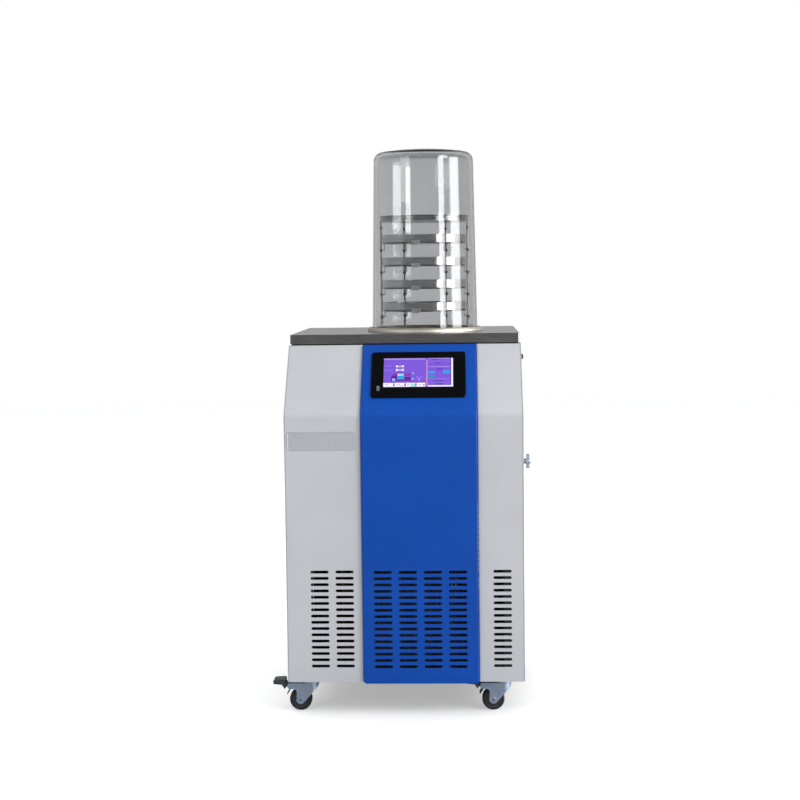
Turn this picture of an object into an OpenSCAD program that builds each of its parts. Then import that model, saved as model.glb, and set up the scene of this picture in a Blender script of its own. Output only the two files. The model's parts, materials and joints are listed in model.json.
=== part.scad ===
// Floor-standing laboratory freeze dryer: a louvred sheet-metal cabinet on braked casters with a
// sloped console, a steel cold trap sunk in the top plate and a clear bell jar over a tray rack.
// Z is up, the operator stands at -Y, and the origin is on the floor under the cabinet's middle.

/* [Cabinet] */
// Width across the side panels
cabinet_w = 524; // [500:1:640]
// Depth of the cabinet, front to back
cabinet_d = 610; // [580:1:740]
// Height of the underside above the floor
under_h = 79; // [79:1:110]
// Height of the knee, where the upright front turns into the sloped console
knee_h = 673.5; // [560:0.5:700]
// Height of the top of the sheet-metal body
body_h = 818; // [790:1:900]
// How far the console slopes back
setback = 137; // [115:1:170]
// Thickness of the side panels
side_t = 2; // [1.5:0.5:3]
// Thickness of the other sheets
sheet_t = 1.5; // [1:0.25:2.5]
// Gap between neighbouring panels
seam = 0.5; // [0.3:0.1:1]
// Outer bend radius of the grey fronts at the knee
knee_r = 20; // [8:1:26]
// Outer bend radius of the edges that turn in beside the centre panel
edge_r = 3; // [3:0.5:16]
// Depth of the flanges on those edges
flange_d = 18; // [16:0.5:30]

/* [Centre panel] */
// Width of the blue centre panel
centre_w = 254; // [235:1:306]
// Middle of the centre panel, to the right of the cabinet's middle
centre_x = 34; // [0:1:40]
// How far the centre panel stands in front of the grey fronts
centre_proud = 8; // [5:0.5:10]
// Depth of the centre panel's folded edges
centre_edge_d = 12; // [10:0.5:14]
// Radius of the centre panel's bottom corners
centre_corner_r = 6.5; // [4:0.5:10]
// Gap from the centre panel to the edges of the grey fronts
centre_gap = 0.5; // [0.5:0.5:4]

/* [Air slots] */
// Length of a punched air slot
slot_l = 40; // [30:1:46]
// Height of a slot
slot_h = 6.5; // [4:0.5:8]
// Distance from row to row
slot_pitch = 14; // [11:0.5:18]
// Rows of slots
slot_rows = 16; // [8:1:18]
// Height of the lowest row
slot_z = 115; // [100:1:160]
// Distance from column to column
column_pitch = 55; // [50:1:60]
// Columns in the centre panel
centre_columns = 4; // [2:1:4]
// From the centre panel to the nearest column on its left
left_column_gap = 40; // [35:1:60]
// How far the column on its right stands to the right of the middle of the right front
right_column_shift = 3.5; // [-6:0.5:8]

/* [Name plate] */
// Height of the bare name plate
plaque_h = 40; // [25:1:60]
// Height of its lower edge above the floor
plaque_z = 595; // [450:1:610]
// Thickness of the name plate
plaque_t = 1.5; // [1:0.5:3]
// From the side of the cabinet to the name plate
plaque_side_gap = 6.5; // [5:0.5:30]
// From the centre panel to the name plate
plaque_centre_gap = 12; // [8:0.5:30]

/* [Console] */
// Width of the display's black bezel
bezel_w = 209; // [190:1:225]
// Height of the bezel, along the slope
bezel_l = 130; // [120:1:140]
// How far the bezel stands above the panel
bezel_t = 4; // [3:0.5:6]
// Corner radius of the bezel
bezel_r = 7; // [3:0.5:12]
// Distance from the knee up to the middle of the bezel
bezel_s = 102; // [95:0.5:120]
// Width of the seven-inch screen
screen_w = 154; // [140:1:165]
// Height of the screen
screen_l = 83; // [75:1:95]
// How far the screen's middle sits above the bezel's middle
screen_up = 5; // [0:0.5:10]

/* [Top plate] */
// How far the top plate's edge sits in from each side of the cabinet
top_inset = 3; // [0:0.5:12]
// Height of the plate's turned-down edge
top_edge_h = 21; // [15:1:30]
// Thickness of the plate's sheet
top_t = 2; // [1.5:0.5:3]
// Height of the black seal between body and plate
top_seal_h = 3; // [2:0.5:5]

/* [Chamber] */
// Middle of the chamber, to the right of the cabinet's middle
chamber_x = 42; // [0:1:60]
// Middle of the chamber, behind the cabinet's middle
chamber_y = 25; // [0:1:60]
// Gap from the tray rack's foot to the inside of the bell jar
jar_gap = 9.5; // [6:0.5:20]
// How much smaller the jar's radius is at its shoulder than at its foot
jar_taper = 7; // [0:0.5:9]
// Height of the bell jar's top above the plate
jar_h = 426; // [380:1:520]
// Wall thickness of the bell jar
jar_wall = 8; // [6:0.5:10]
// Radius of the jar's shoulder
jar_shoulder_r = 20; // [14:0.5:30]
// How much the jar's top is domed
jar_dome_h = 7; // [4:0.5:12]
// How far the base ring reaches outside the jar's foot
ring_lip = 11; // [8:0.5:16]
// Height of the base ring's rim
ring_h = 10; // [8:0.5:14]
// Thickness of the seal under the jar
jar_seal_t = 3; // [2:0.5:4]
// Inner radius of the cold trap
trap_r = 90; // [75:1:110]
// Depth of the cold trap below the plate
trap_depth = 180; // [140:1:200]
// Thickness of the insulation round the cold trap
foam_t = 28; // [20:1:36]

/* [Tray rack] */
// Outer radius of a tray
tray_r = 99; // [80:0.5:120]
// Height of a tray's wall
tray_h = 21; // [15:1:28]
// Thickness of a tray's sheet
tray_t = 1.2; // [1:0.1:2]
// Height of the lowest tray above the plate
tray_z = 47; // [40:1:60]
// Distance from tray to tray
tray_pitch = 52.5; // [40:0.5:60]
// Diameter of the rack's rods
rod_d = 5; // [4:0.5:6]
// Gap between a tray and the rods
rod_gap = 1; // [0.5:0.25:3]
// Height from the plate to the top of the rack's lid
rack_h = 270; // [250:1:300]
// Thickness of the rack's lid
rack_lid_t = 13; // [8:1:18]

/* [Casters] */
// Diameter of a caster's wheel
wheel_d = 50; // [41:1:50]
// Width of a wheel
wheel_w = 22; // [16:1:24]
// From a side of the cabinet to a caster's swivel axis
caster_side = 45.5; // [42:0.5:70]
// From the front or back of the cabinet to a swivel axis
caster_end = 69; // [60:1:100]
// How far a wheel trails behind its swivel axis
trail = 23.5; // [18:0.5:26]
// Height of the top of a fork's crown
fork_h = 62.5; // [62.5:0.5:70]
// Thickness of a fork's sheet
fork_t = 2.5; // [2:0.25:3]

/* [Fittings] */
// Outer diameter of the vacuum port's flange
port_flange_d = 40; // [30:1:55]
// Bore of the centring recess in that flange
port_bore_d = 26.2; // [16:0.1:30]
// Height of the vacuum port above the floor
port_z = 690; // [680:1:700]
// Diameter of the drain spigot
spigot_d = 10; // [8:0.5:14]
// Height of the vent valve above the floor
valve_z = 550; // [400:1:640]
// From the front of the cabinet to the vent valve
valve_front = 150; // [100:1:300]
// Height of the power switch above the floor
switch_z = 787; // [700:1:800]
// From the front of the cabinet to the power switch
switch_front = 170; // [160:1:300]

/* [Hidden] */
$fn = 48;

// Clearances: between parts that move, and in a running fit
gap = 0.3;
run = 0.05;
// How much thicker a bend is than the flats beside it
bend_swell = 0.05;

// Cabinet
front = -cabinet_d / 2;
back = cabinet_d / 2;
side = cabinet_w / 2;
slope_angle = atan2(setback, body_h - knee_h);
knee_tangent = knee_r * tan(slope_angle / 2);
knee_y = front + knee_r;
knee_z = knee_h - knee_tangent;
slope_run = norm([setback, body_h - knee_h]);
centre_left = centre_x - centre_w / 2;
centre_right = centre_x + centre_w / 2;
sheet_side = side - side_t - seam;
left_w = centre_left - centre_gap + sheet_side;
right_w = sheet_side - centre_right - centre_gap;
pan_lip = 25;
post_w = 40;
post_d = 25;
post_t = 2;

// Top plate and chamber. The rack's foot bridges the trap's mouth, and the jar clears the foot.
plate_z = body_h + top_seal_h;
plate_top = plate_z + top_edge_h;
top_front = front + setback;
top_w = cabinet_w - 2 * top_inset;
top_d = back - top_front;
top_y = (top_front + back) / 2;
trap_wall = 1.5;
trap_mouth_r = trap_r + trap_wall;
rod_r = tray_r + rod_gap + rod_d / 2;
foot_r = max(rod_r + 4, trap_mouth_r + 15);
foot_t = 3;
jar_r = foot_r + jar_gap + jar_wall;
jar_top_r = jar_r - jar_taper;
ring_r = jar_r + ring_lip;
ring_base_t = 4;
jar_foot_z = plate_top + ring_base_t + jar_seal_t;
jar_top_z = plate_top + jar_h;
trap_flange_r = trap_mouth_r + 12;
trap_bottom_z = plate_top - top_t - trap_depth;
coil_d = 10;
vac_d = 25;
coil_r = trap_mouth_r + coil_d / 2 + 0.5;
foam_in_r = coil_r + coil_d / 2 + 1;
foam_top_z = plate_top - top_t - 4;
foam_bottom_z = trap_bottom_z - 20;
coil_turns = 6;
coil_pitch = 20;
coil_z0 = port_z + vac_d / 2 + coil_d / 2 + 5;

// Rack
rod_angles = [0, 60, 120, 180];
peg_drop = 12;
trays = 4;
tab_turn = -9.6;

// Casters: each wheel trails towards -X, and only the front pair has brake pedals
caster_x = side - caster_side;
caster_y = cabinet_d / 2 - caster_end;
CORNERS = [[-caster_x, -caster_y], [caster_x, -caster_y], [-caster_x, caster_y], [caster_x, caster_y]];
wheel_r = wheel_d / 2;
hub_r = wheel_r - 7;
axle_d = 8;
fork_in = wheel_w / 2 + 3;
fork_out = fork_in + fork_t;
king_d = 10;
race_r = 19;
race_h = 4;
mount_t = 3;
mount_w = 60;
bolt_d = 6;
bolt_x = 24;
pivot = [-25, fork_h - 4];
pivot_d = 5;

// Machine room
room_z = under_h + sheet_t;
coil_back = front + 60;
compressor_r = 82;
compressor_h = 210;
compressor_at = [-130, 150];
discharge_d = 8;
suction_d = 12;
capillary_d = 5;
discharge_at = compressor_at + [40, -20];
suction_at = compressor_at + [-20, 0];
compressor_top = room_z + 18 + compressor_h;
fan_r = 100;
fan_z = 225;
port_x = chamber_x;
port_reach = 28;
port_stub = 30;
spigot_x = -60;
spigot_reach = 24;
spigot_z = 140;
inlet_x = -180;
inlet_z = 150;
inlet_w = 48;
inlet_h = 28;

// ---------- shapes used by several parts ----------

// Points of a circular arc from angle a to angle b
function arc(c, r, a, b, n = 8) =
    [for (i = [0:n]) let (t = a + (b - a) * i / n) c + r * [cos(t), sin(t)]];

// Rectangle with rounded corners, centred
module rounded(w, h, r) {
    square([w - 2 * r, h], center = true);
    square([w, h - 2 * r], center = true);
    for (x = [-1, 1], y = [-1, 1]) translate([x * (w / 2 - r), y * (h / 2 - r)]) circle(r);
}

// Slot with round ends, centred
module stadium(l, h) {
    square([l - h, h], center = true);
    for (x = [-1, 1]) translate([x * (l - h) / 2, 0]) circle(d = h);
}

// Stands a flat shape of x and z up as a plate whose outer face looks to -Y at y
module upright(y, t) {
    translate([0, y + t, 0]) rotate([90, 0, 0]) linear_extrude(height = t) children();
}

// Turns a shape along +Z into one along +Y
module along_y() {
    rotate([-90, 0, 0]) children();
}

// Turns a shape along +Z into one along +X
module along_x() {
    rotate([0, 90, 0]) children();
}

module slots(columns) {
    for (x = columns, i = [0:slot_rows - 1]) {
        translate([x, slot_z + i * slot_pitch]) stadium(slot_l, slot_h);
    }
}

// ---------- cabinet sheets ----------

// Side view of the body, with the knee rounded as the fronts are
module side_outline() {
    polygon(concat(
        [[back, under_h], [front, under_h]],
        arc([knee_y, knee_z], knee_r, 180, 180 - slope_angle, 16),
        [[top_front, body_h], [back, body_h]]
    ));
}

// Leans a shape from the knee's axis back along the slope
module lean() {
    rotate([-slope_angle, 0, 0]) children();
}

// Carries a cross-section (x across, y inwards from its face) up the upright front, round the knee
// and up the slope. The first child is the section of the flats and the second that of the bend,
// which is a hair thicker all round so that no surface of one grazes a surface of the other.
module up_the_front(bottom, proud) {
    r = knee_r + proud;
    past = 0.3;
    turn = 3;
    translate([0, knee_y, knee_z]) {
        translate([0, -r, bottom - knee_z]) linear_extrude(height = knee_z - bottom + past) children(0);
        rotate([turn, 0, 0]) rotate([90, 0, -90]) rotate_extrude(angle = slope_angle + 2 * turn)
            intersection() {
                translate([r, 0]) mirror([1, 0]) rotate(-90) children(1);
                translate([past / 2, -cabinet_w]) square([r + 1, 2 * cabinet_w]);
            }
        lean() translate([0, -r, -past]) linear_extrude(height = slope_run + 20) children(0);
    }
}

// Section of a grey front from x = 0 to w: plain at 0, turned in at w, and thicker by swell
module grey_section(w, depth, swell = 0) {
    bend_in = edge_r - sheet_t - swell;
    difference() {
        union() {
            translate([0, -swell]) square([w - edge_r, depth]);
            translate([w - edge_r, edge_r]) circle(edge_r + swell);
            translate([0, edge_r]) square([w + swell, depth - edge_r]);
        }
        translate([-1, sheet_t + swell]) square([w - edge_r + 1, depth]);
        translate([w - edge_r, edge_r]) circle(bend_in);
        translate([-1, edge_r]) square([w - sheet_t - swell + 1, depth]);
        translate([0, depth]) square([w + 1, 2 * edge_r]);
    }
}

module grey_front(w) {
    difference() {
        up_the_front(under_h, 0) {
            grey_section(w, flange_d);
            grey_section(w, flange_d + bend_swell, bend_swell);
        }
        translate([-1, front - 50, body_h]) cube([w + 2, cabinet_d, 100]);
    }
}

// Section of the centre panel: a shallow channel with rounded edges
module centre_section(swell = 0) {
    r = 3;
    flat_w = centre_w - 2 * r;
    translate([centre_x, 0]) difference() {
        union() {
            translate([-flat_w / 2, -swell]) square([flat_w, centre_edge_d]);
            translate([-centre_w / 2 - swell, r]) square([centre_w + 2 * swell, centre_edge_d - r]);
            for (x = [-1, 1]) translate([x * flat_w / 2, r]) circle(r + swell);
        }
        translate([-flat_w / 2, sheet_t + swell]) square([flat_w, centre_edge_d]);
        translate([sheet_t + swell - centre_w / 2, r])
            square([centre_w - 2 * sheet_t - 2 * swell, centre_edge_d]);
        for (x = [-1, 1]) translate([x * flat_w / 2, r]) circle(r - sheet_t - swell);
    }
}

// Frame of the console: x across, -Y out of the centre panel's face, z up the slope from the knee
module on_console() {
    translate([0, knee_y, knee_z]) lean()
        translate([0, -knee_r - centre_proud, -knee_tangent]) children();
}

centre_bottom = under_h - 2;
centre_face = front - centre_proud;
housing_w = bezel_w - 18;
housing_l = bezel_l - 16;
lip_reach = centre_proud / cos(slope_angle) + 0.5;
first_column = centre_x - (centre_columns - 1) / 2 * column_pitch;
centre_column_x = [for (i = [0:centre_columns - 1]) first_column + i * column_pitch];

module centre_panel() {
    color("royalblue") difference() {
        union() {
            difference() {
                up_the_front(centre_bottom, centre_proud) {
                    centre_section();
                    centre_section(bend_swell);
                }
                translate([centre_left - 1, front - 50, body_h]) cube([centre_w + 2, cabinet_d, 100]);
            }
            // bottom and top lips that close the channel's ends
            translate([centre_left + sheet_t / 2, centre_face + sheet_t / 2, centre_bottom])
                cube([centre_w - sheet_t, centre_edge_d - sheet_t, sheet_t]);
            translate([centre_left + sheet_t / 2, top_front - lip_reach + sheet_t, body_h - sheet_t])
                cube([centre_w - sheet_t, lip_reach + 5, sheet_t]);
        }
        // rounded bottom corners
        for (x = [-1, 1]) {
            translate([centre_x + x * (centre_w / 2 - centre_corner_r), 0, centre_bottom + centre_corner_r])
                upright(centre_face - 5, centre_edge_d + 10)
                    difference() {
                        translate([x > 0 ? 0 : -20, -20]) square(20);
                        circle(centre_corner_r);
                    }
        }
        upright(centre_face - 5, 30) slots(centre_column_x);
        on_console() translate([centre_x, 0, bezel_s])
            upright(-5, 20) square([housing_w + 2 * gap, housing_l + 2 * gap], center = true);
    }
}

module front_left() {
    room = left_w - left_column_gap + centre_gap - slot_l / 2 - 6;
    columns = 1 + floor(room / column_pitch);
    color("gainsboro") difference() {
        translate([-sheet_side, 0, 0]) grey_front(left_w);
        upright(front - 5, 30)
            slots([for (i = [0:columns - 1]) centre_left - left_column_gap - i * column_pitch]);
    }
}

module front_right() {
    color("gainsboro") difference() {
        translate([sheet_side, 0, 0]) mirror([1, 0, 0]) grey_front(right_w);
        upright(front - 5, 30) slots([sheet_side - right_w / 2 + right_column_shift]);
    }
}

// One side panel, drawn at the left: a flat skin with its top edge turned in under the top plate
module side_skin() {
    color("gainsboro") {
        translate([-side, 0, 0]) rotate([90, 0, 90]) linear_extrude(height = side_t) side_outline();
        translate([-side + side_t - 1, top_front + 30, body_h - side_t]) cube([16, top_d - 45, side_t]);
    }
}

module left_panel() {
    side_skin();
}

switch_y = front + switch_front;
switch_l = 21;
switch_w = 17;
valve_y = front + valve_front;
valve_neck_d = 16;

module right_panel() {
    difference() {
        mirror([1, 0, 0]) side_skin();
        translate([side - 5, switch_y, switch_z]) cube([12, switch_l - 3, switch_w - 3], center = true);
        translate([side - 20, valve_y, valve_z]) along_x() cylinder(d = valve_neck_d + 2 * gap, h = 40);
    }
}

rear_columns = [-110, -55, 55, 110];

screw_d = 4;

// Frames of the screws round the rear panel, with +Z out of its face
module at_rear_screws() {
    rows = 5;
    pitch = (body_h - under_h - 40) / (rows - 1);
    for (x = [-1, 1], i = [0:rows - 1]) {
        translate([x * (sheet_side - 12), back, under_h + 20 + i * pitch]) along_y() children();
    }
}

module rear_panel() {
    color("gainsboro") difference() {
        upright(back - sheet_t, sheet_t) difference() {
            translate([-sheet_side, under_h]) square([2 * sheet_side, body_h - under_h]);
            translate([40, 60]) slots(rear_columns);
            translate([port_x, port_z]) circle(d = port_bore_d + 6);
            translate([spigot_x, spigot_z]) circle(d = spigot_d + 2);
            translate([inlet_x, inlet_z]) square([inlet_w - 18, inlet_h - 6], center = true);
        }
        at_rear_screws() cylinder(d = screw_d + 2 * gap, h = 40, center = true);
    }
}

// Folded floor of the machine room, notched at the front for the centre panel and its neighbours'
// flanges, with air slots beside the compressor
module base_pan() {
    x = sheet_side - seam;
    y0 = front + sheet_t + gap;
    y1 = back - sheet_t - gap;
    notch_left = centre_left - centre_gap - edge_r - gap;
    notch_right = centre_right + centre_gap + edge_r + gap;
    color("lightgray") difference() {
        translate([-x, y0, under_h]) cube([2 * x, y1 - y0, sheet_t + pan_lip]);
        translate([-x + sheet_t, y0 + sheet_t, under_h + sheet_t])
            cube([2 * (x - sheet_t), y1 - y0 - 2 * sheet_t, sheet_t + pan_lip]);
        translate([notch_left, front - 1, under_h - 1])
            cube([notch_right - notch_left, flange_d + 1 + gap, 60]);
        translate([0, 0, under_h - 1]) linear_extrude(height = 10)
            for (i = [-2:2]) translate([column_pitch * i, -40]) stadium(slot_l, slot_h);
        at_rear_screws() cylinder(d = screw_d, h = 40, center = true);
        for (i = [0:3]) at_caster(i) at_mount_bolts() cylinder(d = bolt_d, h = 2 * under_h);
    }
}

// Angle posts in the four corners. The front pair stops under the knee.
module frame_posts() {
    x = sheet_side - seam - sheet_t - gap;
    y = cabinet_d / 2 - 2 * sheet_t - 2 * gap;
    color("dimgray") difference() {
        for (i = [-1, 1], j = [-1, 1]) {
            h = j < 0 ? knee_z - room_z - 10 : body_h - room_z - 4;
            // the angle's corner sits in the cabinet's corner and its legs point inwards
            shift = [i < 0 ? 0 : -post_w, j < 0 ? 0 : -post_d];
            translate([i * x, j * y, room_z]) linear_extrude(height = h) difference() {
                translate(shift) square([post_w, post_d]);
                translate(shift - post_t * [i, j]) square([post_w, post_d]);
            }
        }
        at_rear_screws() cylinder(d = screw_d, h = 40, center = true);
    }
}

module name_plate() {
    w = centre_left - plaque_centre_gap + side - plaque_side_gap;
    color("silver") translate([-side + plaque_side_gap + w / 2, 0, plaque_z + plaque_h / 2])
        upright(front - plaque_t, plaque_t) rounded(w, plaque_h, 4);
}

// ---------- console ----------

usb_w = 6.6;
usb_l = 13.5;
usb_x = centre_x - 1.5 - bezel_w / 2 + 16.5;
usb_s = bezel_s - bezel_l / 2 + 25;
screen_x = centre_x - 1.5;

module display_bezel() {
    color("black") on_console() difference() {
        translate([screen_x, 0, bezel_s]) upright(-bezel_t, bezel_t) rounded(bezel_w, bezel_l, bezel_r);
        translate([screen_x, 0, bezel_s + screen_up])
            upright(-bezel_t - 1, 2.5) square([screen_w, screen_l], center = true);
        translate([usb_x, 0, usb_s])
            upright(-bezel_t - 1, bezel_t - 1) square([usb_w, usb_l], center = true);
    }
}

module display_screen() {
    color("mediumpurple") on_console() translate([screen_x, 0, bezel_s + screen_up])
        upright(-bezel_t + 0.5, 1) square([screen_w, screen_l], center = true);
}

module display_housing() {
    color("dimgray") on_console() difference() {
        translate([centre_x - housing_w / 2, 0, bezel_s - housing_l / 2]) cube([housing_w, 38, housing_l]);
        for (i = [-8:8]) translate([centre_x + i * 9 - 2, 30, bezel_s - 30]) cube([4, 12, 60]);
    }
}

module usb_socket() {
    color("silver") on_console() translate([usb_x, 0, usb_s]) difference() {
        upright(-bezel_t, bezel_t - 2) square([usb_w, usb_l], center = true);
        upright(-bezel_t - 1, bezel_t - 2) square([usb_w - 1, usb_l - 1], center = true);
    }
}

// ---------- top plate and chamber ----------

module top_seal() {
    color("black") translate([0, top_y, body_h]) linear_extrude(height = top_seal_h) difference() {
        square([top_w - 8, top_d - 8], center = true);
        square([top_w - 32, top_d - 32], center = true);
    }
}

// Shallow stainless pan turned upside down, with the cold trap's mouth cut in it
module top_plate() {
    color("darkgray") difference() {
        translate([0, top_y, plate_z]) difference() {
            linear_extrude(height = top_edge_h) rounded(top_w, top_d, 3);
            translate([0, 0, -1]) linear_extrude(height = top_edge_h - top_t + 1)
                square([top_w - 2 * top_t, top_d - 2 * top_t], center = true);
        }
        translate([chamber_x, chamber_y, plate_top - 10]) cylinder(r = trap_mouth_r, h = 20, $fn = 96);
    }
}

module in_chamber(z = 0) {
    translate([chamber_x, chamber_y, plate_top + z]) children();
}

// Turned ring that seats the jar's seal and carries its foot inside a bevelled rim
module base_ring() {
    rim_r = jar_r + 1.5;
    color("silver") in_chamber() rotate_extrude($fn = 96) polygon([
        [foot_r + 1.5, 0], [ring_r, 0], [ring_r, ring_h - 4], [ring_r - 3, ring_h], [rim_r, ring_h],
        [rim_r, ring_base_t], [foot_r + 1.5, ring_base_t]
    ]);
}

module jar_seal() {
    color("black") in_chamber(ring_base_t) rotate_extrude($fn = 96)
        translate([jar_r - jar_wall - 4, 0]) square([jar_wall + 5, jar_seal_t]);
}

// Outline of a bell: a slightly tapered wall, a round shoulder and a shallow dome, down to y = 0
function bell(foot, top, h, shoulder, dome) =
    let (
        dome_half = top - shoulder,
        dome_r = (dome_half * dome_half + dome * dome) / (2 * dome),
        tilt = asin(dome_half / dome_r),
        shoulder_c = [dome_half, h - dome - shoulder]
    )
    concat(
        [[0, 0], [foot, 0]],
        arc(shoulder_c, shoulder, 0, 90 - tilt, 10),
        arc([0, h - dome_r], dome_r, 90 - tilt, 90, 8)
    );

module bell_jar() {
    h = jar_top_z - jar_foot_z;
    w = jar_wall;
    color("lightcyan", 0.35) in_chamber(jar_foot_z - plate_top) rotate_extrude($fn = 96) difference() {
        polygon(bell(jar_r, jar_top_r, h, jar_shoulder_r, jar_dome_h));
        translate([0, -1])
            polygon(bell(jar_r - w, jar_top_r - w, h - w + 1, jar_shoulder_r - w, jar_dome_h));
    }
}

// Drawn steel pot hung by its flange under the top plate, with a dished floor
module cold_trap() {
    z0 = trap_bottom_z - plate_top;
    r = 18;
    outer = concat([[0, z0]], arc([trap_mouth_r - r, z0 + r], r, -90, 0, 6));
    inner = concat([[0, z0 + trap_wall]], arc([trap_mouth_r - r, z0 + r], r - trap_wall, -90, 0, 6));
    color("silver") in_chamber() difference() {
        rotate_extrude($fn = 96) difference() {
            union() {
                polygon(concat(outer, [[trap_mouth_r, -top_t], [0, -top_t]]));
                translate([0, -top_t - 2]) square([trap_flange_r, 2]);
            }
            polygon(concat(inner, [[trap_r, 1], [0, 1]]));
        }
        translate([port_x - chamber_x, 0, port_z - plate_top]) along_y() cylinder(d = vac_d - 3, h = 200);
    }
}

module trap_foam() {
    color("khaki") in_chamber() difference() {
        rotate_extrude() difference() {
            translate([0, foam_bottom_z - plate_top])
                square([foam_in_r + foam_t, foam_top_z - foam_bottom_z]);
            translate([0, trap_bottom_z - plate_top - 1]) square([foam_in_r, trap_depth + 10]);
        }
        translate([port_x - chamber_x, 0, port_z - plate_top]) along_y() cylinder(d = vac_d + 1, h = 200);
        translate([-200, 0, coil_z0 - plate_top]) along_x() cylinder(d = capillary_d + 1, h = 200);
        translate([-200, 0, coil_z0 + (coil_turns - 1) * coil_pitch - plate_top])
            along_x() cylinder(d = suction_d + 1, h = 200);
    }
}

// ---------- tray rack ----------

module rack_foot() {
    color("silver") in_chamber() rotate_extrude($fn = 96)
        translate([rod_r - 6, 0]) square([foot_r - rod_r + 6, foot_t]);
}

// Rods with a set collar and a bent tongue under every tray
module rack_rods() {
    color("silver") in_chamber() {
        for (a = rod_angles) rotate(a) {
            translate([rod_r, 0, foot_t]) cylinder(d = rod_d, h = rack_h - rack_lid_t - foot_t);
            for (i = [0:trays - 1]) translate([rod_r, 0, tray_z + i * tray_pitch - peg_drop]) {
                translate([0, 0, -3]) cylinder(d = rod_d + 3.5, h = 6);
                translate([-9, -2.5, -1.5]) cube([8, 5, 1.5]);
                translate([-9, -2.5, -1.5]) cube([1.5, 5, peg_drop + 1.5]);
            }
            translate([rod_r, 0, 18]) cylinder(d = rod_d + 3.5, h = 6);
        }
    }
}

// Spun lid over the rods, with a groove between its two rims
module rack_lid() {
    z1 = rack_h;
    z0 = rack_h - rack_lid_t;
    color("silver") in_chamber() rotate_extrude($fn = 96) polygon([
        [0, z0], [rod_r + 1.5, z0], [rod_r + 1.5, z0 + 4.5], [rod_r - 1, z0 + 6], [rod_r - 1, z1 - 3.5],
        [rod_r + 2.5, z1 - 1.5], [rod_r + 2.5, z1], [rod_r - 1, z1], [rod_r - 4, z1 - 3], [0, z1 - 3]
    ]);
}

// Spun tray with a curled-in foot and a pull tab at the front
module tray(i) {
    r = 4;
    color("silver") in_chamber(tray_z + i * tray_pitch) {
        rotate_extrude($fn = 96) polygon(concat(
            [[0, 0]],
            arc([tray_r - r, r], r, -90, 0, 5),
            [[tray_r, tray_h], [tray_r - tray_t, tray_h]],
            arc([tray_r - r, r], r - tray_t, 0, -90, 5),
            [[0, tray_t]]
        ));
        rotate(tab_turn) translate([0, -tray_r, 0]) difference() {
            intersection() {
                translate([0, 2, 0]) linear_extrude(height = 20, center = true) rounded(22, 20, 5);
                translate([-12, -8, 0]) rotate([0, 90, 0]) linear_extrude(height = 24)
                    polygon([[-9, 8.6], [-7.8, 8.6], [0.6, 4], [3, -1], [1.6, -1.4], [-0.4, 3]]);
            }
            translate([0, tray_r, -1]) cylinder(r = tray_r - tray_t / 2, h = 40, $fn = 96);
        }
    }
}

// ---------- machine room ----------

// Hermetic can with a domed lid, a rolled seam, a foot plate and a terminal cover
module compressor() {
    r = compressor_r;
    h = compressor_h;
    color("black") difference() {
        translate([compressor_at[0], compressor_at[1], room_z + 18]) {
            rotate_extrude() polygon(concat(
                [[0, 0]],
                arc([r - 25, 25], 25, -90, 0, 6),
                [[r, h * 0.45], [r + 3, h * 0.45], [r + 3, h * 0.5], [r, h * 0.5]],
                arc([r - 40, h - 40], 40, 0, 90, 7),
                [[0, h]]
            ));
            translate([0, 0, -2]) linear_extrude(height = 4) rounded(190, 150, 20);
            translate([-30, -r - 22, 70]) cube([60, 50, 60]);
        }
        // sockets of the two lines
        translate([discharge_at[0], discharge_at[1], compressor_top - 20])
            cylinder(d = discharge_d, h = 40, $fn = 24);
        translate([suction_at[0], suction_at[1], compressor_top - 10])
            cylinder(d = suction_d, h = 40, $fn = 24);
    }
}

module compressor_mounts() {
    color("dimgray") for (x = [-1, 1], y = [-1, 1]) {
        translate([compressor_at[0] + x * 80, compressor_at[1] + y * 60, room_z]) cylinder(r = 12, h = 16);
    }
}

// Finned coil right behind the slotted front, with its tube rows and end plates
fin_pitch = 8;
coil_w = 250;
coil_h = 232;
coil_d_y = 44;
coil_z = 96;
tube_rows = 7;
tube_out = 10;

module condenser() {
    fins = floor(coil_w / fin_pitch);
    color("peru") translate([centre_x - coil_w / 2, coil_back - coil_d_y, coil_z]) {
        for (i = [0:fins]) translate([i * coil_w / fins - 0.4, 0, 0]) cube([0.8, coil_d_y, coil_h]);
        for (x = [-1.5, coil_w]) translate([x, -2, -4]) cube([1.5, coil_d_y + 4, coil_h + 8]);
        for (i = [0:tube_rows - 1]) translate([-tube_out, coil_d_y / 2, (i + 0.5) * coil_h / tube_rows])
            along_x() cylinder(d = 9.5, h = coil_w + 2 * tube_out, $fn = 24);
    }
}

module fan_shroud() {
    y0 = coil_back + 2;
    color("dimgray") difference() {
        union() {
            translate([centre_x, 0, fan_z]) upright(y0, 2) square([coil_w, coil_h], center = true);
            translate([centre_x, y0, fan_z]) along_y() cylinder(r = fan_r + 8, h = 30);
        }
        translate([centre_x, y0 - 1, fan_z]) along_y() cylinder(r = fan_r + 5, h = 40);
    }
}

fan_y = coil_back + 14;
motor_y = fan_y + 26;

module fan_motor() {
    color("darkslategray") translate([centre_x, motor_y, fan_z]) {
        difference() {
            union() {
                along_y() cylinder(r = 36, h = 55);
                for (a = [45:90:315]) rotate([0, a, 0]) translate([0, 4, -4]) cube([fan_r + 6, 3, 8]);
            }
            translate([0, -1, 0]) along_y() cylinder(d = 8 + 2 * run, h = 30);
        }
    }
}

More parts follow.
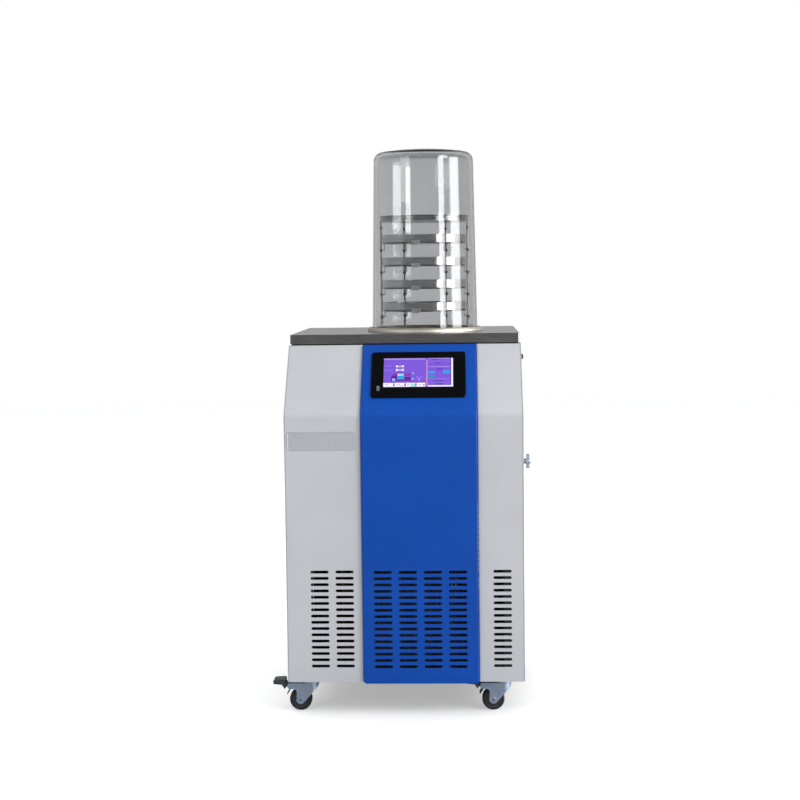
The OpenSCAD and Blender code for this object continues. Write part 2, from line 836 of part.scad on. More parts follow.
module fan_blade() {
    color("gray") translate([centre_x, fan_y, fan_z]) {
        along_y() cylinder(r = 24, h = 20);
        along_y() cylinder(d = 8, h = 50);
        for (i = [0:4]) rotate([0, i * 72, 0]) intersection() {
            translate([15, 10, 0]) rotate([32, 0, 0]) translate([0, -0.8, -30]) cube([fan_r, 1.6, 60]);
            along_y() cylinder(r = fan_r, h = 24);
            translate([0, 0, -30]) cube([fan_r, 24, 60]);
        }
    }
}

// Straight tube between two points that differ along one axis, with brazed ball joints at corners
module run_pipe(points, d) {
    for (i = [0:len(points) - 2]) {
        v = points[i + 1] - points[i];
        translate(points[i]) {
            if (v[0] != 0) rotate([0, v[0] > 0 ? 90 : -90, 0]) cylinder(d = d, h = abs(v[0]), $fn = 24);
            if (v[1] != 0) rotate([v[1] > 0 ? -90 : 90, 0, 0]) cylinder(d = d, h = abs(v[1]), $fn = 24);
            if (v[2] != 0) rotate([0, v[2] > 0 ? 0 : 180, 0]) cylinder(d = d, h = abs(v[2]), $fn = 24);
        }
        if (i > 0) translate(points[i]) sphere(d = d + 2, $fn = 24);
    }
}

drier_at = [-150, -120, 420];
drier_l = 120;

module filter_drier() {
    color("goldenrod") translate(drier_at) rotate_extrude() polygon([
        [0, -drier_l / 2], [5, -drier_l / 2], [5, -drier_l / 2 + 10], [17, -drier_l / 2 + 20],
        [17, drier_l / 2 - 20], [5, drier_l / 2 - 10], [5, drier_l / 2], [0, drier_l / 2]
    ]);
}

// The copper circuit: discharge line to the condenser, liquid line to the drier, and the capillary
// line, trap coil and suction line back to the compressor
module refrigerant_pipes() {
    tube_end = centre_x - coil_w / 2 - tube_out;
    x_line = tube_end - 16;
    y_line = coil_back - coil_d_y / 2;
    high = compressor_top + 40;
    low_tube = coil_z + coil_h / (2 * tube_rows);
    high_tube = coil_z + coil_h - coil_h / (2 * tube_rows);
    coil_left = chamber_x - coil_r;
    coil_top = coil_z0 + (coil_turns - 1) * coil_pitch;
    dx = discharge_at[0];
    dy = discharge_at[1];
    sx = suction_at[0];
    sy = suction_at[1];
    fx = drier_at[0];
    fy = drier_at[1];
    color("peru") {
        run_pipe([[dx, dy, compressor_top - 20], [dx, dy, high], [x_line, dy, high], [x_line, y_line, high],
            [x_line, y_line, high_tube], [tube_end, y_line, high_tube]], discharge_d);
        run_pipe([[tube_end, y_line, low_tube], [x_line, y_line, low_tube], [x_line, fy, low_tube],
            [fx, fy, low_tube], [fx, fy, drier_at[2] - drier_l / 2]], discharge_d);
        run_pipe([[fx, fy, drier_at[2] + drier_l / 2], [fx, fy, coil_z0], [fx, chamber_y, coil_z0],
            [coil_left, chamber_y, coil_z0]], capillary_d);
        for (i = [0:coil_turns - 1]) translate([chamber_x, chamber_y, coil_z0 + i * coil_pitch])
            rotate_extrude() translate([coil_r, 0]) circle(d = coil_d);
        // risers that join one turn to the next, on alternate sides
        for (i = [0:coil_turns - 2]) translate([chamber_x, chamber_y, coil_z0 + i * coil_pitch])
            rotate(i % 2 == 0 ? 30 : 150) translate([coil_r, 0, 0])
                cylinder(d = coil_d - 2, h = coil_pitch, $fn = 24);
        run_pipe([[coil_left, chamber_y, coil_top], [sx, chamber_y, coil_top], [sx, sy, coil_top],
            [sx, sy, compressor_top - 10]], suction_d);
    }
}

// ---------- ports and fittings ----------

// Clamp-flange port through the rear panel, with a recess for the centring ring
module vacuum_port() {
    r = port_bore_d / 2;
    wall = 1.4;
    color("silver") translate([port_x, back, port_z]) along_y() rotate_extrude($fn = 96) polygon([
        [r - 1, -port_stub], [r + wall, -port_stub], [r + wall, -sheet_t - 3], [r + 10, -sheet_t - 3],
        [r + 10, -sheet_t], [r + wall, -sheet_t], [r + wall, port_reach - 8],
        [port_flange_d / 2, port_reach - 4], [port_flange_d / 2, port_reach], [r, port_reach],
        [r, port_reach - 3], [r - 1, port_reach - 3]
    ]);
}

// Evacuation line from the cold trap's wall to the rear port
module vacuum_pipe() {
    color("lightgray") difference() {
        translate([port_x, chamber_y, port_z]) along_y()
            cylinder(d = vac_d, h = back - port_stub - chamber_y);
        translate([port_x, chamber_y - 1, port_z]) along_y() cylinder(d = vac_d - 3, h = cabinet_d);
        translate([chamber_x, chamber_y, port_z - 50]) cylinder(r = trap_mouth_r, h = 100, $fn = 96);
    }
}

module drain_spigot() {
    color("silver") translate([spigot_x, back, spigot_z]) along_y() rotate_extrude() {
        r = spigot_d / 2;
        polygon([
            [r - 1.5, -20], [r, -20], [r, -sheet_t - 3], [r + 5, -sheet_t - 3], [r + 5, -sheet_t],
            [r, -sheet_t], [r, spigot_reach - 1], [r - 0.6, spigot_reach], [r - 1.5, spigot_reach]
        ]);
    }
}

module power_inlet() {
    color("black") translate([inlet_x, 0, inlet_z]) {
        difference() {
            union() {
                upright(back, 3) rounded(inlet_w, inlet_h, 4);
                upright(back - 24, 24) square([inlet_w - 19, inlet_h - 7], center = true);
            }
            upright(back - 14, 20) rounded(24.5, 16.8, 3);
        }
        for (x = [-7, 0, 7]) {
            translate([x, 0, x == 0 ? 2 : -2]) upright(back - 15, 13) square([2, 5], center = true);
        }
    }
}

module valve_body() {
    color("silver") translate([side, valve_y, valve_z]) {
        along_x() cylinder(d = valve_neck_d - 4, h = 10);
        translate([-side_t - 24, 0, 0]) along_x() cylinder(d = valve_neck_d, h = side_t + 27);
        difference() {
            translate([-side_t - 8, 0, 0]) along_x() cylinder(d = 24, h = 8 - gap, $fn = 6);
            translate([-side_t - 9, 0, 0]) along_x() cylinder(d = valve_neck_d - 1, h = 10);
        }
    }
}

handle_x = 10 + gap;
wing_span = 33;

// Winged handle of the vent valve
module valve_handle() {
    t = 8;
    color("gray") translate([side + handle_x, valve_y, valve_z]) along_x() difference() {
        union() {
            linear_extrude(height = t) {
                circle(8);
                polygon([
                    [-wing_span / 2 + 4, 4], [-wing_span / 2 + 4, -4], [0, -5.5], [wing_span / 2 - 4, -4],
                    [wing_span / 2 - 4, 4], [0, 5.5]
                ]);
                for (x = [-1, 1]) translate([x * (wing_span / 2 - 4), 0]) circle(4);
            }
            cylinder(r = 6, h = t + 2);
        }
        for (x = [-1, 1]) translate([x * wing_span * 0.32, 0, t + 1]) sphere(3.4, $fn = 24);
    }
}

module switch_frame() {
    color("black") translate([side, switch_y, switch_z]) difference() {
        union() {
            along_x() linear_extrude(height = 2) rounded(switch_w, switch_l, 2);
            translate([-11, 0, 0]) cube([22, switch_l - 4, switch_w - 4], center = true);
        }
        translate([-2, 0, 0]) cube([14, switch_l - 6, switch_w - 6], center = true);
    }
}

// Rocker that tips about a vertical axis, stored in its off position
rocker_tip = 8;

module switch_rocker() {
    l = switch_l - 6 - 2 * gap;
    w = switch_w - 6 - 2 * gap;
    color("dimgray") translate([side - 2.5, switch_y, switch_z]) rotate([0, 0, rocker_tip])
        translate([0, 0, -w / 2]) linear_extrude(height = w) intersection() {
            polygon([
                [-2, -3], [6, -l / 2 + 0.2], [8.2, -l / 2 + 0.8], [6.6, 0], [8.2, l / 2 - 0.8],
                [6, l / 2 - 0.2], [-2, 3]
            ]);
            circle(9.5);
        }
}

// Cross-recessed pan-head screws round the rear panel
module panel_screws() {
    color("silver") at_rear_screws() {
        translate([0, 0, -8]) cylinder(d = screw_d, h = 8);
        difference() {
            cylinder(r = 4, h = 2.4);
            translate([0, 0, 1.6]) linear_extrude(height = 2)
                for (a = [0, 90]) rotate(a) square([5, 1], center = true);
        }
    }
}

// ---------- casters ----------

module at_caster(i) {
    translate([CORNERS[i][0], CORNERS[i][1], 0]) children();
}

module at_mount_bolts() {
    for (x = [-1, 1], y = [-1, 1]) translate([x * bolt_x, y * bolt_x, 0]) children();
}

// Hex bolts that hold the casters' plates to the base pan, with their nuts inside
module caster_bolts() {
    color("silver") for (i = [0:3]) at_caster(i) translate([0, 0, under_h - mount_t]) at_mount_bolts() {
        translate([0, 0, -3]) cylinder(d = 10, h = 3, $fn = 6);
        cylinder(d = bolt_d, h = mount_t + sheet_t + 10);
        translate([0, 0, mount_t + sheet_t + post_t]) cylinder(d = 10, h = 5, $fn = 6);
    }
}

// Fixed half of each caster: plate, upper race and king pin
module caster_mounts() {
    race_z = fork_h + race_h + gap;
    color("lightsteelblue") for (i = [0:3]) at_caster(i) {
        translate([0, 0, under_h - mount_t]) difference() {
            linear_extrude(height = mount_t) rounded(mount_w, mount_w, 6);
            at_mount_bolts() cylinder(d = bolt_d + 2 * gap, h = 20, center = true);
        }
        translate([0, 0, race_z]) cylinder(r = race_r + 3, h = under_h - mount_t - race_z);
        translate([0, 0, fork_h - fork_t - 5]) cylinder(d = king_d, h = race_z - fork_h + fork_t + 6);
        translate([0, 0, fork_h - fork_t - gap - 4]) cylinder(d = king_d + 6, h = 4, $fn = 6);
    }
}

// Side view of a fork, measured from the wheel's axle: x along the trail, y is height
module fork_outline() {
    nose = trail + fork_out + 3;
    arm_low = fork_h - 13;
    leg = -8;
    fillet = 9;
    polygon([
        [pivot[0] + 2, fork_h], [nose, fork_h], [nose, fork_h - 3], [9, wheel_r - 4.5],
        [leg - 1, wheel_r - 1], [leg, arm_low], [pivot[0] + 2, arm_low]
    ]);
    translate([pivot[0] + 2, arm_low + 6.5]) circle(6.5);
    translate([0, wheel_r]) circle(9.5);
    difference() {
        translate([leg - fillet, arm_low - fillet]) square([fillet + 1, fillet + 1]);
        translate([leg - fillet, arm_low - fillet]) circle(fillet);
    }
}

// Plan of a fork: two cheeks joined by a round nose in front of the king pin
module fork_plan(grow) {
    half = fork_in + grow;
    translate([-60, -half]) square([60 + trail, 2 * half]);
    translate([trail, 0]) circle(half);
}

module fork(braked) {
    translate([-trail, 0, 0]) difference() {
        union() {
            intersection() {
                translate([0, 50, 0]) rotate([90, 0, 0]) linear_extrude(height = 100) fork_outline();
                difference() {
                    linear_extrude(height = fork_h) fork_plan(fork_t);
                    translate([0, 0, -1]) linear_extrude(height = fork_h - fork_t + 1) fork_plan(0);
                    translate([-60, -fork_in, fork_h - fork_t - 1]) cube([46, 2 * fork_in, 10]);
                }
            }
            translate([trail, 0, fork_h - 0.5]) cylinder(r = race_r, h = race_h + 0.5);
            // axle, riveted through both cheeks
            translate([0, -fork_out - 1.5, wheel_r]) along_y() cylinder(d = axle_d, h = 2 * fork_out + 3);
            for (y = [-fork_out - 1.5, fork_out]) {
                translate([0, y, wheel_r]) along_y() cylinder(d = axle_d + 4, h = 1.5);
            }
            if (braked) {
                // pivot and stop rivets
                translate([pivot[0], -fork_out - 1, pivot[1]]) along_y()
                    cylinder(d = pivot_d, h = 2 * fork_out + 2);
                for (y = [-fork_out - 1, fork_out]) {
                    translate([pivot[0], y, pivot[1]]) along_y() cylinder(d = pivot_d + 3, h = 1);
                    translate([-11, y, fork_h - 7]) along_y() cylinder(d = pivot_d + 2, h = 1);
                }
            }
        }
        translate([trail, 0, 0]) cylinder(d = king_d + 2 * run, h = 100);
        translate([0, -50, wheel_r]) along_y() cylinder(d = axle_d - 4, h = 100);
    }
}

module place_fork(i) {
    color("lightsteelblue") at_caster(i) fork(i < 2);
}

module at_wheel(i) {
    at_caster(i) translate([-trail, 0, wheel_r]) children();
}

module hub(i) {
    w = wheel_w / 2 + 1.5;
    color("dimgray") at_wheel(i) rotate([90, 0, 0]) rotate_extrude() polygon([
        [axle_d / 2 + run, -w], [8, -w], [8.6, -w + 3.5], [hub_r - 3, -w + 4.5], [hub_r - 2, -w + 2.5],
        [hub_r, -w + 2.5], [hub_r, w - 2.5], [hub_r - 2, w - 2.5], [hub_r - 3, w - 4.5], [8.6, w - 3.5],
        [8, w], [axle_d / 2 + run, w]
    ]);
}

module tyre(i) {
    w = wheel_w / 2;
    r = 4;
    color("black") at_wheel(i) rotate([90, 0, 0]) rotate_extrude($fn = 72) polygon(concat(
        [[hub_r, -w + 1], [hub_r + 1.5, -w]],
        arc([wheel_r - r, -w + r], r, -90, 0, 6),
        arc([wheel_r - r, w - r], r, 0, 90, 6),
        [[hub_r + 1.5, w], [hub_r, w - 1]]
    ));
}

// Moulded brake pedal: a wide tread outside the fork, a narrow boss on the pivot between its
// cheeks and a leaf that bears on the tyre when the tread is pressed down
module pedal(i) {
    px = pivot[0];
    pz = pivot[1];
    tread_w = 2 * fork_out + 1;
    boss_w = 2 * (fork_in - 0.5);
    color("dimgray") at_caster(i) translate([-trail, 0, 0]) {
        difference() {
            union() {
                translate([0, tread_w / 2, 0]) rotate([90, 0, 0]) linear_extrude(height = tread_w) {
                    polygon([
                        [px - 34, pz + 2.5], [px - 36, pz + 4.5], [px - 36, pz + 9.5], [px - 33.5, pz + 12],
                        [px - 12, pz + 13.5], [px - 8.5, pz + 12], [px - 8.5, pz - 7], [px - 11, pz - 7.8],
                        [px - 17, pz + 1]
                    ]);
                }
                translate([0, boss_w / 2, 0]) rotate([90, 0, 0]) linear_extrude(height = boss_w) {
                    translate([px, pz]) circle(5.5);
                    translate([px - 10, pz - 4]) square([10, 8]);
                    polygon([
                        [px + 1, pz - 5], [px + 4, pz - 4], [px + 3.2, pz - 9.6], [px - 4.2, pz - 21.2],
                        [px - 6, pz - 20], [px + 1.2, pz - 9]
                    ]);
                }
            }
            translate([px, -50, pz]) along_y() cylinder(d = pivot_d + 2 * run, h = 100);
        }
    }
}

base_pan();
frame_posts();
left_panel();
right_panel();
rear_panel();
front_left();
front_right();
centre_panel();
top_seal();
top_plate();
name_plate();
display_bezel();
display_screen();
display_housing();
usb_socket();
bell_jar();
jar_seal();
base_ring();
cold_trap();
trap_foam();
rack_foot();
rack_rods();
rack_lid();
tray(0);  // tray_1
tray(1);  // tray_2
tray(2);  // tray_3
tray(3);  // tray_4
compressor();
compressor_mounts();
condenser();
fan_shroud();
fan_motor();
fan_blade();
filter_drier();
refrigerant_pipes();
vacuum_port();
vacuum_pipe();
drain_spigot();
valve_body();
valve_handle();
switch_frame();
switch_rocker();
power_inlet();
panel_screws();
caster_mounts();
caster_bolts();
place_fork(0);  // fork_front_left
place_fork(1);  // fork_front_right
place_fork(2);  // fork_rear_left
place_fork(3);  // fork_rear_right
hub(0);  // hub_front_left
hub(1);  // hub_front_right
hub(2);  // hub_rear_left
hub(3);  // hub_rear_right
tyre(0);  // tyre_front_left
tyre(1);  // tyre_front_right
tyre(2);  // tyre_rear_left
tyre(3);  // tyre_rear_right
pedal(0);  // pedal_left
pedal(1);  // pedal_right
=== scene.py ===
"""Looks of the floor-standing freeze dryer: its finishes, the display, plaque, fins and rounded
edges that are modelled here, and the camera and studio."""

import json
import math

import bpy
from mathutils import Matrix, Vector


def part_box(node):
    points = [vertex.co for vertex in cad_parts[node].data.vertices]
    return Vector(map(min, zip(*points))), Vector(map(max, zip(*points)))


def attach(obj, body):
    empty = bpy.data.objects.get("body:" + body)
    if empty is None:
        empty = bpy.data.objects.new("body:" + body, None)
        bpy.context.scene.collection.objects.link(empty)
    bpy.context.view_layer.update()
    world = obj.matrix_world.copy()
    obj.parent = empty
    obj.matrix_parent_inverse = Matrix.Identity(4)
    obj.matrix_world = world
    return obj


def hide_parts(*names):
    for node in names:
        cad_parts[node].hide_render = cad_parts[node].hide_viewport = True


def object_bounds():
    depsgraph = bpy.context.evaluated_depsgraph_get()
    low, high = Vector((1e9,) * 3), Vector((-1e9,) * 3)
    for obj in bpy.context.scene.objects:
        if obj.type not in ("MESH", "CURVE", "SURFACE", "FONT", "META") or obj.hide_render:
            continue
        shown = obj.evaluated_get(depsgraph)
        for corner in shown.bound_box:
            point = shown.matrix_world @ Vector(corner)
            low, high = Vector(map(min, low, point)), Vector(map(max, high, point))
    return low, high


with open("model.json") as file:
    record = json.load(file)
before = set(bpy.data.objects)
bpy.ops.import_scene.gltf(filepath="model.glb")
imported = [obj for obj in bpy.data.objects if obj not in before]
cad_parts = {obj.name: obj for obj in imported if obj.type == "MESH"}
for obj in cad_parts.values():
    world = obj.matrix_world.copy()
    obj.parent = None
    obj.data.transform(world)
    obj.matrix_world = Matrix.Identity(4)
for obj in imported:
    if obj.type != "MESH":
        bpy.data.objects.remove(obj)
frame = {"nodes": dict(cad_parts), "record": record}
cad_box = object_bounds()
cad_nodes = frame["nodes"]
SLOT_OF_NODE = {part["node"]: part["material_slot"] for part in frame["record"]["subparts"]}
BODY_OF_NODE = {node: body for body, nodes in frame["record"]["behaviour"]["bodies"].items()
                for node in nodes}
jar_low, jar_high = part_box("bell_jar")
JAR_X, JAR_Y = (jar_low.x + jar_high.x) / 2, (jar_low.y + jar_high.y) / 2
MM = 0.001
COLLAR_DROP = 12 * MM  # from a tray's floor down to the middle of the collars under it


# ---------------------------------------------------------------- camera

CAMERA_PLACE = (0.13364, -3.85283, 0.98027)
CAMERA_LEFT, CAMERA_DOWN, CAMERA_ROLL = math.radians(2.26), math.radians(4.46), math.radians(0.68)
LENS_MM, SENSOR_MM = 73.58, 36


def stand_camera():
    """A long lens at chest height, almost four metres off, a little right of the cabinet and turned
    back to it."""
    ahead = Vector((-math.sin(CAMERA_LEFT) * math.cos(CAMERA_DOWN),
                    math.cos(CAMERA_LEFT) * math.cos(CAMERA_DOWN), -math.sin(CAMERA_DOWN)))
    right = Vector((math.cos(CAMERA_LEFT), math.sin(CAMERA_LEFT), 0))
    up = right.cross(ahead)
    rolled_right = math.cos(CAMERA_ROLL) * right - math.sin(CAMERA_ROLL) * up
    rolled_up = math.sin(CAMERA_ROLL) * right + math.cos(CAMERA_ROLL) * up
    lens = bpy.data.cameras.new("studio_camera")
    lens.sensor_width = SENSOR_MM
    lens.lens = LENS_MM
    camera = bpy.data.objects.new("studio_camera", lens)
    turn = Matrix((rolled_right, rolled_up, -ahead)).transposed().to_4x4()
    camera.matrix_world = Matrix.Translation(CAMERA_PLACE) @ turn
    bpy.context.scene.collection.objects.link(camera)
    bpy.context.scene.camera = camera


stand_camera()


# ---------------------------------------------------------------- finishes

def linear(code):
    """An sRGB hex code as a linear colour with full alpha."""
    parts = [int(code[i:i + 2], 16) / 255 for i in (1, 3, 5)]
    return tuple(p / 12.92 if p <= 0.04045 else ((p + 0.055) / 1.055) ** 2.4 for p in parts) + (1,)


def add(tree, kind, settings=None, links=None):
    """One node. Settings go to its inputs by name or place, to its own options, or to a ramp's
    stops, which are (position, hex code). Links come from other nodes' first outputs, or from the
    outputs given."""
    node = tree.nodes.new("ShaderNode" + kind)
    for key, value in (settings or {}).items():
        if key == "stops":
            elements = node.color_ramp.elements
            while len(elements) < len(value):
                elements.new(0.5)
            for element, (position, code) in zip(elements, value):
                element.position = position
                element.color = linear(code)
        elif isinstance(key, int) or key in node.inputs:
            node.inputs[key].default_value = value
        else:
            setattr(node, key, value)
    for key, source in (links or {}).items():
        output = source.outputs[0] if hasattr(source, "outputs") else source
        tree.links.new(output, node.inputs[key])
    return node


def new_finish(name):
    """An empty finish, its node tree, and the place on the object in metres."""
    finish = bpy.data.materials.new(name)
    finish.use_nodes = True
    tree = finish.node_tree
    tree.nodes.clear()
    return finish, tree, add(tree, "TexCoord").outputs["Object"]


def coated(finish, settings, links, **bulk):
    """The finish with its shader: constants in settings, patterns in links, and what fills the
    solid in bulk."""
    skin = add(finish.node_tree, "BsdfPrincipled", settings, links)
    add(finish.node_tree, "OutputMaterial", {}, {"Surface": skin, **bulk})
    return finish


def round_jar_axis(tree, place):
    """How far from the jar's axis each place is, and how high."""
    moved = add(tree, "Mapping", {"Location": (-JAR_X, -JAR_Y, 0)}, {"Vector": place})
    split = add(tree, "SeparateXYZ", {}, {0: moved}).outputs
    flat = add(tree, "CombineXYZ", {}, {"X": split["X"], "Y": split["Y"]})
    return add(tree, "VectorMath", {"operation": "LENGTH"}, {0: flat}).outputs["Value"], split["Z"]


def powder_coat(name, light, dark, rough, shine=0.5):
    """Baked polyester powder on folded steel: an even colour that drifts very little over a hand's
    width, and an orange-peel skin. Real peel is 1.5 mm from crest to crest; drawn at 5 mm so that
    it shows."""
    finish, tree, place = new_finish(name)
    drift = add(tree, "TexNoise", {"Scale": 1 / (160 * MM), "Detail": 2}, {"Vector": place})
    grain = add(tree, "TexNoise", {"Scale": 1 / (4 * MM), "Detail": 2}, {"Vector": place})
    both = add(tree, "Math", {"operation": "MULTIPLY_ADD", 1: 0.35}, {0: grain, 2: drift})
    colour = add(tree, "ValToRGB", {"stops": [(0.4, dark), (1.0, light)]}, {"Fac": both})
    sheen = add(tree, "MapRange", {"To Min": rough - 0.05, "To Max": rough + 0.08},
                {"Value": grain})
    peel = add(tree, "TexNoise", {"Scale": 1 / (5 * MM), "Detail": 2}, {"Vector": place})
    bump = add(tree, "Bump", {"Distance": 0.12 * MM, "Strength": 0.5}, {"Height": peel})
    return coated(finish, {"IOR": 1.5, "Specular IOR Level": shine},
                  {"Base Color": colour, "Roughness": sheen, "Normal": bump})


def brushed_steel(name, light, dark, rough):
    """Stainless sheet with a brushed grain from side to side: streaks several centimetres long.
    Real scratches are 0.1 mm wide; drawn about 1.5 mm wide so that they show."""
    finish, tree, place = new_finish(name)
    laid = add(tree, "Mapping", {"Scale": (0.025, 1, 1)}, {"Vector": place})
    streak = add(tree, "TexNoise", {"Scale": 1 / (1.5 * MM), "Detail": 4}, {"Vector": laid})
    cloud = add(tree, "TexNoise", {"Scale": 1 / (90 * MM), "Detail": 3}, {"Vector": place})
    both = add(tree, "Math", {"operation": "MULTIPLY_ADD", 1: 0.6}, {0: cloud, 2: streak})
    colour = add(tree, "ValToRGB", {"stops": [(0.55, dark), (1.0, light)]}, {"Fac": both})
    sheen = add(tree, "MapRange", {"To Min": rough - 0.08, "To Max": rough + 0.12},
                {"Value": streak})
    bump = add(tree, "Bump", {"Distance": 0.06 * MM, "Strength": 0.35}, {"Height": streak})
    return coated(finish, {"Metallic": 1.0},
                  {"Base Color": colour, "Roughness": sheen, "Normal": bump})


def turned_steel(name, light, dark, rough):
    """Stainless spun or turned on a lathe and polished: faint rings round the jar's axis. Real tool
    marks are 0.2 mm apart; drawn 2 mm apart so that they show."""
    finish, tree, place = new_finish(name)
    reach, height = round_jar_axis(tree, place)
    ring = add(tree, "CombineXYZ", {}, {"X": reach, "Z": height})
    marks = add(tree, "TexNoise", {"Scale": 1 / (2 * MM), "Detail": 3}, {"Vector": ring})
    smear = add(tree, "TexNoise", {"Scale": 1 / (45 * MM), "Detail": 3}, {"Vector": place})
    both = add(tree, "Math", {"operation": "MULTIPLY_ADD", 1: 0.5}, {0: smear, 2: marks})
    colour = add(tree, "ValToRGB", {"stops": [(0.5, dark), (1.0, light)]}, {"Fac": both})
    sheen = add(tree, "MapRange", {"To Min": rough - 0.05, "To Max": rough + 0.1}, {"Value": both})
    bump = add(tree, "Bump", {"Distance": 0.04 * MM, "Strength": 0.3}, {"Height": marks})
    return coated(finish, {"Metallic": 1.0},
                  {"Base Color": colour, "Roughness": sheen, "Normal": bump})


def tray_steel(name, light, dark, tab_painted_reflection_grey, rough):
    """Deep-drawn and polished stainless tray, with faint draw lines round its wall: real ones are
    0.3 mm apart, and they are drawn 1.5 mm apart so that they show. The pull tab, bent out from the
    rim, is given a pale and mostly matt finish: a painted reflection of the bright space overhead
    that the polished tab would mirror."""
    finish, tree, place = new_finish(name)
    low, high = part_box("tray_1")
    rim = (high.x - low.x) / 2
    reach, _ = round_jar_axis(tree, place)
    tab = add(tree, "MapRange", {"From Min": rim + 0.2 * MM, "From Max": rim + 0.6 * MM},
              {"Value": reach})
    laid = add(tree, "Mapping", {"Scale": (0.03, 0.03, 1)}, {"Vector": place})
    lines = add(tree, "TexNoise", {"Scale": 1 / (1.5 * MM), "Detail": 3}, {"Vector": laid})
    wall = add(tree, "ValToRGB", {"stops": [(0.35, dark), (0.65, light)]}, {"Fac": lines})
    # the tab's pale grey and low metal are a painted reflection of the bright space overhead
    colour = add(tree, "Mix", {"data_type": "RGBA", 7: linear(tab_painted_reflection_grey)},
                 {0: tab, 6: wall}).outputs[2]
    sheen = add(tree, "MapRange", {"To Min": rough - 0.05, "To Max": rough + 0.07},
                {"Value": lines})
    metal = add(tree, "MapRange", {"To Min": 1.0, "To Max": 0.25}, {"Value": tab})
    return coated(finish, {}, {"Base Color": colour, "Roughness": sheen, "Metallic": metal})


def collared_rod(name, light, dark, collar_black):
    """Fine-ground stainless rods, lightly streaked along their length, and the blackened set
    collars on them, one under every tray. The rods are pale and only faintly metallic: a painted
    reflection of a bright surround, where polished rods would mirror the dim room. The streaks are
    drawn 1.5 mm wide so that they show."""
    finish, tree, place = new_finish(name)
    laid = add(tree, "Mapping", {"Scale": (1, 1, 0.03)}, {"Vector": place})
    streak = add(tree, "TexNoise", {"Scale": 1 / (1.5 * MM), "Detail": 3}, {"Vector": laid})
    # the rods' pale greys are a painted reflection of a bright surround, in place of the dim room
    # they would mirror
    painted_pale_rod = add(tree, "ValToRGB", {"stops": [(0.35, dark), (0.65, light)]}, {"Fac": streak})
    tray_floor, next_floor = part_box("tray_1")[0].z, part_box("tray_2")[0].z
    collar = tray_floor - COLLAR_DROP
    height = add(tree, "SeparateXYZ", {}, {0: place}).outputs["Z"]
    lifted = add(tree, "Math", {"operation": "SUBTRACT", 1: collar}, {0: height})
    half_pitch = (next_floor - tray_floor) / 2
    away = add(tree, "Math", {"operation": "PINGPONG", 1: half_pitch}, {0: lifted})
    black = add(tree, "MapRange", {"From Min": 3.4 * MM, "From Max": 3.1 * MM}, {"Value": away})
    colour = add(tree, "Mix", {"data_type": "RGBA", 7: linear(collar_black)},
                 {0: black, 6: painted_pale_rod}).outputs[2]
    sheen = add(tree, "MapRange", {"To Min": 0.35, "To Max": 0.5}, {"Value": streak})
    return coated(finish, {"Metallic": 0.2}, {"Base Color": colour, "Roughness": sheen})


def zinc_plate(name):
    """Bright zinc electroplate with a blue chromate: bluish silver, with cloudy tints where the
    film is thicker."""
    finish, tree, place = new_finish(name)
    film = add(tree, "TexNoise", {"Scale": 1 / (18 * MM), "Detail": 4}, {"Vector": place})
    tints = [(0.3, "#b4cdf2"), (0.48, "#cbdff8"), (0.62, "#d3dfee"), (0.75, "#dddbcd")]
    colour = add(tree, "ValToRGB", {"stops": tints}, {"Fac": film})
    handled = add(tree, "TexNoise", {"Scale": 1 / (3 * MM), "Detail": 3}, {"Vector": place})
    sheen = add(tree, "MapRange", {"To Min": 0.28, "To Max": 0.5}, {"Value": handled})
    rolled = add(tree, "TexNoise", {"Scale": 1 / (2.5 * MM), "Detail": 3}, {"Vector": place})
    bump = add(tree, "Bump", {"Distance": 0.04 * MM, "Strength": 0.4}, {"Height": rolled})
    return coated(finish, {"Metallic": 1.0},
                  {"Base Color": colour, "Roughness": sheen, "Normal": bump})


def galvanised_steel(name):
    """Hot-dip galvanised sheet: frozen zinc crystals about 9 mm across, each a slightly different
    grey."""
    finish, tree, place = new_finish(name)
    crystals = add(tree, "TexVoronoi", {"Scale": 110.0, "Randomness": 1.0}, {"Vector": place})
    shade = add(tree, "SeparateColor", {}, {0: crystals.outputs["Color"]})
    colour = add(tree, "ValToRGB", {"stops": [(0.0, "#8b9094"), (1.0, "#b4b8ba")]}, {"Fac": shade})
    sheen = add(tree, "MapRange", {"To Min": 0.32, "To Max": 0.5}, {"Value": shade})
    dross = add(tree, "TexNoise", {"Scale": 1 / (4 * MM), "Detail": 2}, {"Vector": place})
    bump = add(tree, "Bump", {"Distance": 0.05 * MM, "Strength": 0.4}, {"Height": dross})
    return coated(finish, {"Metallic": 1.0},
                  {"Base Color": colour, "Roughness": sheen, "Normal": bump})


def blasted_aluminium(name):
    """Bead-blasted and silver-anodised aluminium plaque: a sparkle of fine pits. Real pits are 0.1
    mm; drawn 1.6 mm across so that they show."""
    finish, tree, place = new_finish(name)
    pits = add(tree, "TexNoise", {"Scale": 1 / (1.6 * MM), "Detail": 2}, {"Vector": place})
    greys = [(0.3, "#bfc2c7"), (0.5, "#cdd0d4"), (0.7, "#dadcdf")]
    colour = add(tree, "ValToRGB", {"stops": greys}, {"Fac": pits})
    sheen = add(tree, "MapRange", {"To Min": 0.35, "To Max": 0.6}, {"Value": pits})
    bump = add(tree, "Bump", {"Distance": 0.1 * MM, "Strength": 0.5}, {"Height": pits})
    return coated(finish, {"Metallic": 0.45},
                  {"Base Color": colour, "Roughness": sheen, "Normal": bump})


